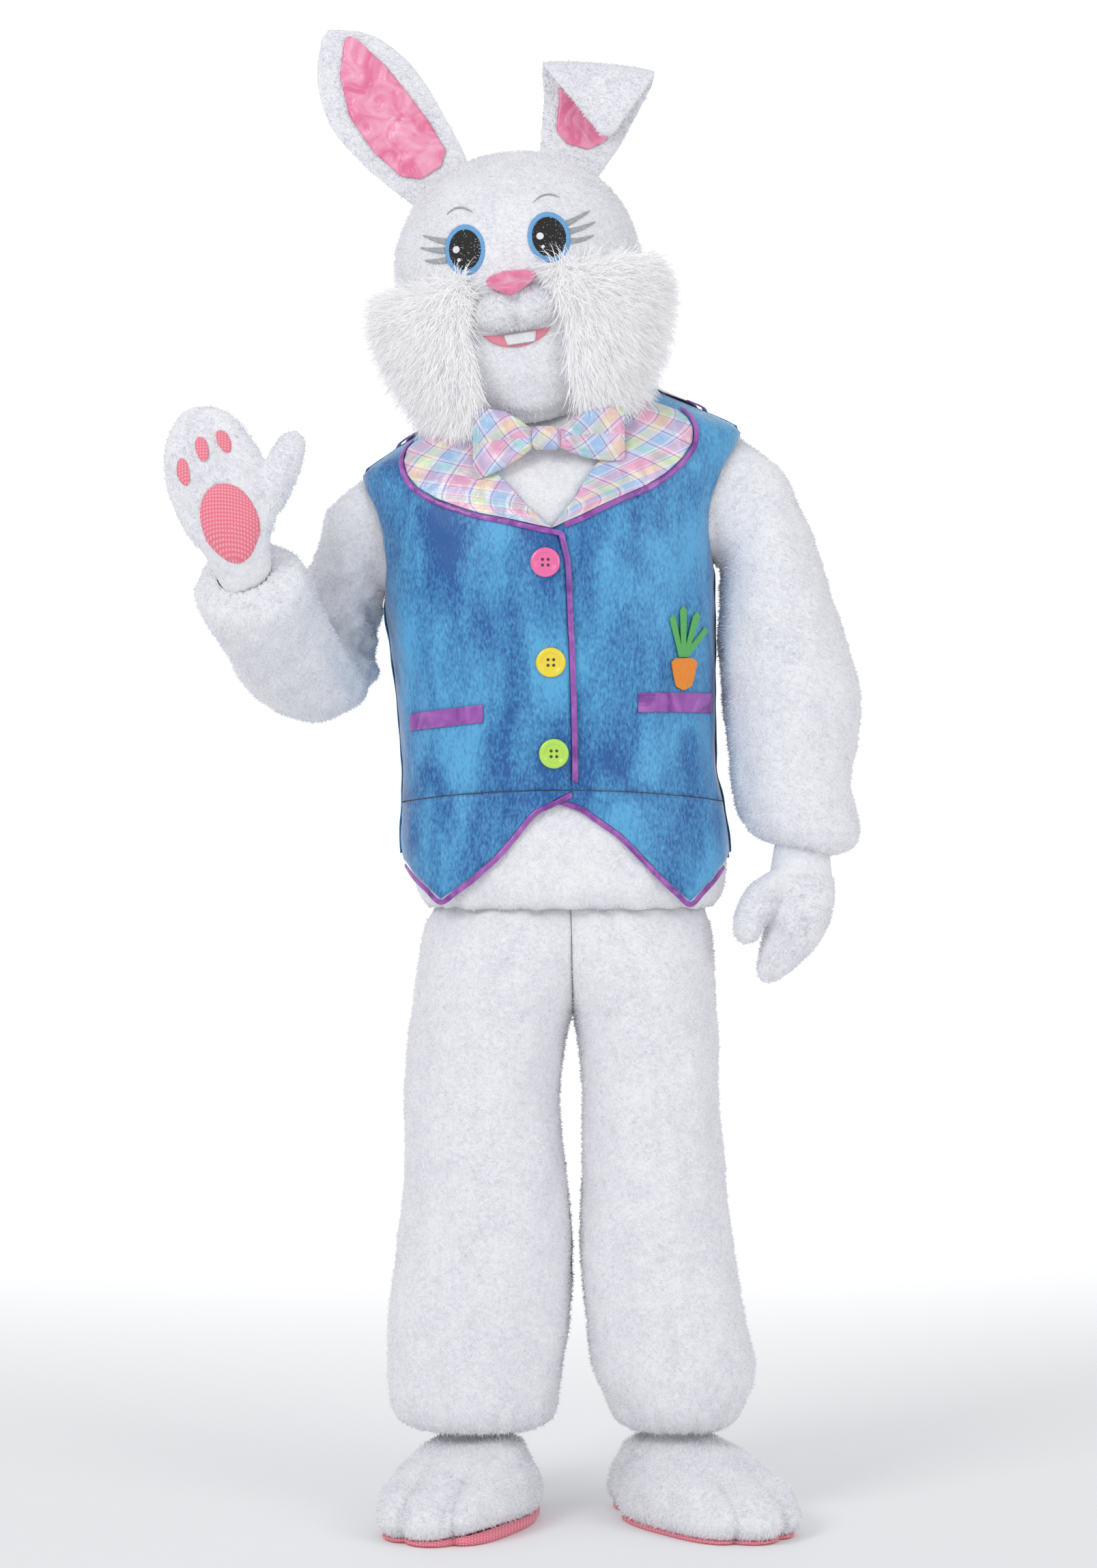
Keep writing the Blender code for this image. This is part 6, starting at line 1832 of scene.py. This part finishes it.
plaid = plaid_group()
plaid_satin, tree, shader = new_material(
    "pastel plaid satin", 0.27, Sheen_Weight=0.15, Coat_Weight=0.1, Coat_Roughness=0.3
)
bands = use_group(tree, plaid, cloth_place(tree, PLAID_SLANT))
soft = use_group(tree, satin, object_place(tree), Crease=1.2)
# Painted shade in the satin's hollows darkens the plaid; the raised creases keep its own colours.
shade = mix_colours(tree, soft.outputs["Painted_highlight"], (0.78, 0.78, 0.82, 1), (1, 1, 1, 1))
shaded = mix_colours(tree, 1.0, bands.outputs["Colour"], shade, "MULTIPLY")
tree.links.new(shaded, shader.inputs["Base Color"])
add_bump(tree, shader, soft.outputs["Height"], strength=0.5, distance=0.005)

Lapel = namedtuple("Lapel", "level right_roll right_edge left_roll left_edge")
LAPEL = [
    Lapel(1286, 5, 2, 3, 5),
    Lapel(1291, -1, -14, 7, 19),
    Lapel(1298, -9, -33, 13, 42),
    Lapel(1306, -17, -56, 21, 62),
    Lapel(1316, -26, -88, 30, 90),
    Lapel(1327, -35, -112, 38, 122),
    Lapel(1342, -46, -141, 46, 149),
    Lapel(1360, -62, -165, 61, 170),
    Lapel(1378, -76, -178, 76, 182),
    Lapel(1396, -87, -183, 87, 184),
    Lapel(1410, -93, -180, 94, 177),
    Lapel(1420, -97, -171, 98, 167),
    Lapel(1434, -99, -138, 100, 137),
    Lapel(1448, -100, -106, 101, 106),
]

LAPEL_GAP = 1.3
LAPEL_CLOTH = 1.2
for name, side, seed in (("right", -1, 121), ("left", 1, 123)):
    levels = fine(1286, 1448, 2.5)[:, None]
    key = column(LAPEL, "level")
    roll, edge = (
        np.interp(levels, key, column(LAPEL, f"{name}_{part}")) for part in ("roll", "edge")
    )
    share = np.linspace(0, 1, 40)
    x = roll + (edge - roll) * share if side > 0 else edge + (roll - edge) * share
    turns, levels = turn_at(levels, x), levels + 0 * x
    lift = vest_lift(turns, levels, side) + LAPEL_GAP + LAPEL_CLOTH
    grid = creased(torso(turns, levels, lift) + [0, -SEAM, 0], 0.6, seed)
    cloth(f"lapel_{name}", grid, plaid_satin, "satin_plaid", f"lapel_{name}", thickness=LAPEL_CLOTH)

CollarEdge = namedtuple("CollarEdge", "turn low high")
COLLAR = [
    CollarEdge(68, 1450, 1455),
    CollarEdge(74, 1436, 1468),
    CollarEdge(82, 1430, 1474),
    CollarEdge(95, 1426, 1476),
    CollarEdge(120, 1412, 1477),
    CollarEdge(150, 1402, 1478),
    CollarEdge(180, 1399, 1478),
]

COLLAR_STAND = 6.4
COLLAR_DROP = 4.6
COLLAR_LIFT = VEST_INNER + VEST_CLOTH + LAPEL_GAP + LAPEL_CLOTH + COLLAR_STAND


def collar_lift(turn):
    """The collar stands off the back of the neck and comes down onto the lapels in front."""
    return COLLAR_LIFT - COLLAR_DROP * (1 - ease(90, 118, 180 - np.abs(180 - turn)))


def collar_edges(count):
    """Turns round the neck with the collar's lower and upper levels there."""
    half = np.linspace(0, len(COLLAR) - 1, count)
    turn, low, high = values_along(COLLAR, half, *CollarEdge._fields)
    pairs = ((turn, 360 - turn), (low, low), (high, high))
    return [np.concatenate([left, right[-2::-1]]) for left, right in pairs]


turn, low, high = collar_edges(37)
levels = low + (high - low) * np.linspace(0, 1, 18)[:, None]
grid = torso(turn + 0 * levels, levels, collar_lift(turn) + 0 * levels)
cloth("collar", creased(grid, 0.5, 125), plaid_satin, "satin_plaid", "collar", thickness=LAPEL_CLOTH)


# Bindings
# Narrow purple satin binding is folded over the edges of the lapels, the overlapping front, the collar
# and the peplums, and stitched along both sides.

# The purple satin's two tones are painted shade and painted highlight over its creases.
purple_satin = satin_material(
    "purple satin", (0.20, 0.035, 0.30, 1), (0.44, 0.13, 0.52, 1), roughness=0.28, crease=0.7
)
BINDING_HALF = 3.6
BINDING_THICK = 1.3
BINDING_GAP = 0.7


def beside(x, level, distance):
    """The line moved sideways, to the right of its own direction when distance is positive."""
    line = np.stack([x, level], -1)
    way = unit(np.gradient(line, axis=0))
    return (line + distance * np.stack([way[:, 1], -way[:, 0]], -1)).T


def surface_line(x, level, lift):
    """Points over the hanging body along a line, and the ways that point off it there."""
    turns = turn_at(level, x, HANG)
    points = torso(turns, level, lift, HANG)
    return points, unit(torso(turns, level, lift + 1, HANG) - points)


def ribbon(name, middles, normals):
    """A flat strip with a lens-shaped section along a line, with a slight pucker from its stitches."""
    middles, normals = weave_between(middles, 6, False), weave_between(normals, 6, False)
    forward = unit(np.gradient(middles, axis=0))
    side = unit(np.cross(forward, normals))[:, None]
    up = unit(np.cross(side[:, 0], forward))[:, None]
    angle = round_turns(16)[None, :, None]
    pucker = 1 + 0.09 * ripple(middles, length=9, seed=7)[:, None, None]
    rings = middles[:, None] + side * np.cos(angle) * BINDING_HALF
    rings = rings + up * np.sin(angle) * BINDING_THICK * pucker
    closed_piece(name, closed_ends(rings), purple_satin, "satin_purple", name)


lapel_levels = np.array(column(LAPEL, "level"), float)[::-1]
lift = VEST_INNER + VEST_CLOTH + BINDING_GAP + BINDING_THICK
away = BINDING_HALF + BINDING_GAP
right_edge, left_edge = (np.array(column(LAPEL, name), float)[::-1] for name in ("right_edge", "left_edge"))
x, level = beside(right_edge[2:-1], lapel_levels[2:-1], away)
front_levels = np.array([1270, 1240, 1200, 1150, 1100, 1050, 1000, 962], float)
front_x = level_value(FRONT_EDGE, "right_x", front_levels) + away
x = np.concatenate([x, [3.0, 15.0], front_x])
level = np.concatenate([level, [1281.0, 1277.0], front_levels])
ribbon("binding_right_front", *surface_line(x, level, lift + 0.5 + overlap_rise(x, level)))
x, level = beside(left_edge[2:-1], lapel_levels[2:-1], -away)
ribbon("binding_left_lapel", *surface_line(x, level, lift + 1.4))
for name, hem, side in (("right", RIGHT_HEM, -1), ("left", LEFT_HEM, 1)):
    x, level = beside(*hem_line(hem, 13), away)
    keep = slice(1, None) if side < 0 else slice(0, -1)
    rise = overlap_rise(x, level) if side < 0 else 0 * x
    middles, normals = surface_line(x[keep], level[keep], VEST_INNER + 1.3 + rise[keep])
    ribbon(f"binding_hem_{name}", middles + [0, -SEAM, 0], normals)
turn = np.linspace(92, 268, 17)
middles = torso(turn, HEM_SIDE - away, VEST_INNER + 0.75, HANG)
ribbon("binding_hem_back", middles, unit(torso(turn, HEM_SIDE - away, 10, HANG) - middles))
turn, low, high = collar_edges(7)
lift = collar_lift(turn[1:-1])
middles = torso(turn[1:-1], low[1:-1] - away, lift + 1.0)
ribbon("binding_collar", middles, unit(torso(turn[1:-1], low[1:-1] - away, lift + 5) - middles))


# Pockets and carrot
# Two straight welts of purple satin mark the pockets. A flat orange carrot of felt with green leaves is
# stitched above the wearer's left pocket.

OVER_VEST = VEST_INNER + VEST_CLOTH + 1.7


def panel_patch(name, x, level, thickness, material, slot, seed):
    """A flat patch that lies on the vest front."""
    grid = torso(turn_at(level, x, HANG), level, OVER_VEST + thickness, HANG) + [0, -SEAM, 0]
    cloth(name, creased(grid, 0.25, seed), material, slot, name, thickness=thickness)


Patch = namedtuple("Patch", "name left_x left_level right_x right_level height")
WELTS = [
    Patch("pocket_welt_right", -175, 1045, -82, 1053, 24),
    Patch("pocket_welt_left", 114, 1062, 208, 1060, 24),
]
for patch in WELTS:
    share = np.linspace(0, 1, 40)
    up = np.linspace(-0.5, 0.5, 12)[:, None] * patch.height
    x = patch.left_x + (patch.right_x - patch.left_x) * share + 0 * up
    middle = patch.left_level + (patch.right_level - patch.left_level) * share
    panel_patch(patch.name, x, middle + up, 1.5, purple_satin, "satin_purple", 131)
orange_felt = felt_material("orange felt", (0.95, 0.30, 0.035))
green_felt = felt_material("green felt", (0.12, 0.50, 0.14))

CARROT_X = 171.0
CARROT_LOW = 1076.0
CARROT_LENGTH = 38.0
LEAF_ROOT = 1115.5
LEAF_NOTCH = 1129.5
Leaf = namedtuple("Leaf", "across top notch")
LEAVES = [Leaf(-15, 1164, -16), Leaf(-1, 1174, 14), Leaf(15, 1166, 40), Leaf(25, 1148, None)]
share = np.linspace(0, 1, 40)[:, None]
half = (7 + 10 * share**0.6) * (1 - 0.32 * ease(0.85, 1, share)) * (0.35 + 0.65 * ease(0, 0.12, share))
across = np.linspace(-1, 1, 16)
x, level = CARROT_X + half * across, CARROT_LOW + CARROT_LENGTH * share + 0 * across
panel_patch("carrot_root", x, level, 2.0, orange_felt, "felt_orange", 133)
outline = [(-6, LEAF_ROOT)]
for leaf in LEAVES:
    outline += [(leaf.across - 4, leaf.top - 3), (leaf.across, leaf.top + 2), (leaf.across + 4, leaf.top - 3)]
    if leaf.notch is not None:
        outline.append((leaf.notch * 0.22, LEAF_NOTCH))
outline.append((6, LEAF_ROOT))
outline_x, outline_level = np.array(outline, float).T
share = np.linspace(0, 1, 14)[:, None]
x = CARROT_X + np.linspace(-6, 6, len(outline)) * (1 - share) + outline_x * share
level = (LEAF_ROOT - 0.2) * (1 - share) + outline_level * share
panel_patch("carrot_leaves", x, level, 2.0, green_felt, "felt_green", 135)


# Buttons
# Three large glossy plastic buttons, pink, yellow and lime, are sewn on through four holes, and a dark
# piece in each hole is painted shade. Each has a raised rim.

Button = namedtuple("Button", "name x level gap colour slot")
BUTTONS = [
    Button("top", -4, 1243, 0.6, (0.93, 0.16, 0.40, 1), "button_pink"),
    Button("middle", 3, 1116, 0.6, (0.95, 0.72, 0.04, 1), "button_yellow"),
    Button("bottom", 7, 999, 1.6, (0.50, 0.80, 0.10, 1), "button_lime"),
]


BUTTON_PROFILE = np.array([
    (0, 2.6), (4, 2.6), (8, 2.6), (11, 2.65), (12, 3.1), (12.9, 4.1), (14, 4.55), (15.6, 4.7), (17.2, 4.5),
    (18.4, 3.8), (19, 2.8), (19, 1.6), (18.5, 0.6), (17.4, 0.1), (9, 0), (0, 0),
])
HOLE_PROFILE = ((0, 0), (1.5, 0), (2.0, 0.05), (2.0, -0.4), (0, -0.4))
HOLE_PLACE = 3.6
HOLE_HEIGHT = 2.75

# Dark material for the button holes: painted shade in the holes.
hole_shade, tree, shader = new_material("shaded thread", roughness=0.8, Sheen_Weight=0.2)
hole_shade_specks = noise(tree, object_place(tree), scale=700, detail=2)
colour_between(tree, shader, hole_shade_specks, (0.03, 0.02, 0.02, 1), (0.12, 0.09, 0.08, 1))
for button in BUTTONS:
    plastic = f"{button.name} button plastic"
    material, tree, shader = new_material(plastic, roughness=0.16, Coat_Weight=0.6, Subsurface_Weight=0.05)
    shader.inputs["Base Color"].default_value = button.colour
    clouds = noise(tree, object_place(tree), scale=120, detail=2, distortion=0.4)
    add_bump(tree, shader, clouds, strength=0.08, distance=0.0006)
    turn = turn_at(button.level, button.x)
    lift = VEST_INNER + VEST_CLOTH + OVERLAP + button.gap
    place = torso(turn, button.level, lift)
    normal = unit(torso(turn, button.level, lift + 1) - place)
    side = unit(np.cross([0, 0, 1.0], normal))
    frame = np.stack([side, np.cross(normal, side), normal])
    angle = round_turns(72)[None, :]
    radius, height = BUTTON_PROFILE[:, :1], BUTTON_PROFILE[:, 1:]
    flat = np.stack([np.cos(angle) * radius, np.sin(angle) * radius, height + 0 * angle], -1)
    name = f"button_{button.name}"
    closed_piece(name, place + flat @ frame, material, button.slot, name)
    ring = np.stack([np.cos(angle[0]), np.sin(angle[0]), 0 * angle[0]], -1)
    for index, (x, y) in enumerate(((-1, -1), (1, -1), (1, 1), (-1, 1))):
        spot = place + np.array([x * HOLE_PLACE, y * HOLE_PLACE, HOLE_HEIGHT]) @ frame
        rows = [spot + (ring * radius) @ frame + frame[2] * height for radius, height in HOLE_PROFILE]
        # Each hole is filled with a dark piece that is painted shade.
        closed_piece(f"{name}_hole_{index}", rows, hole_shade, button.slot)


# Bow tie
# A stuffed bow of the same plaid satin hangs below the chin: two pleated wings pinched under a knot.

Wing = namedtuple("Wing", "x z half_height half_depth y")
BOW_WINGS = {
    "right": [
        Wing(-21.5, 1402, 13, 5, -139.5),
        Wing(-36, 1402, 24, 8, -141.5),
        Wing(-56, 1401, 36, 9, -141.5),
        Wing(-78, 1398, 43, 8, -138.5),
        Wing(-92, 1396, 46, 5, -133.5),
        Wing(-97, 1395, 45, 2, -131.5),
    ],
    "left": [
        Wing(15, 1404, 13, 5, -139.5),
        Wing(30, 1406, 22, 8, -141.5),
        Wing(52, 1408, 31, 9, -141.5),
        Wing(76, 1409, 35, 8, -137.5),
        Wing(92, 1409, 34, 5, -132.5),
        Wing(98, 1408, 33, 2, -130.5),
    ],
}


angle = round_turns(96)
for name, wings in BOW_WINGS.items():
    where = np.linspace(0, len(wings) - 1, 60)
    shape = Wing(*(values[:, None] for values in values_along(wings, where, *Wing._fields)))
    pinch = (1 - ease(0, 3.2, where))[:, None]
    pleat = 1 - 0.28 * np.abs(np.cos(angle * 2)) - 0.16 * (0.35 + pinch) * (1 + np.cos(angle * 14)) / 2
    z = shape.z + np.sin(angle) * shape.half_height
    y = shape.y - np.cos(angle) * shape.half_depth * pleat
    grid = np.stack([shape.x + 0 * z, y, z], -1)
    if name == "right":
        grid = grid[::-1]
    item = closed_piece(f"bow_wing_{name}", closed_ends(grid), plaid_satin, "satin_plaid", f"bow_wing_{name}")
level = np.linspace(-1, 1, 30)[:, None]
wide = 18.2 * (1 - 0.34 * level**4) * (1 + 0.02 * np.cos(angle * 9))
deep = 11 * (1 - 0.5 * level**4) * (1 + 0.05 * np.cos(angle * 9))
grid = np.stack([
    -3.5 + np.cos(angle) * wide, -142.5 + np.sin(angle) * deep, 1403 + 15 * level + 0 * wide
], -1)
closed_piece("bow_knot", closed_ends(grid), plaid_satin, "satin_plaid", "bow_knot")
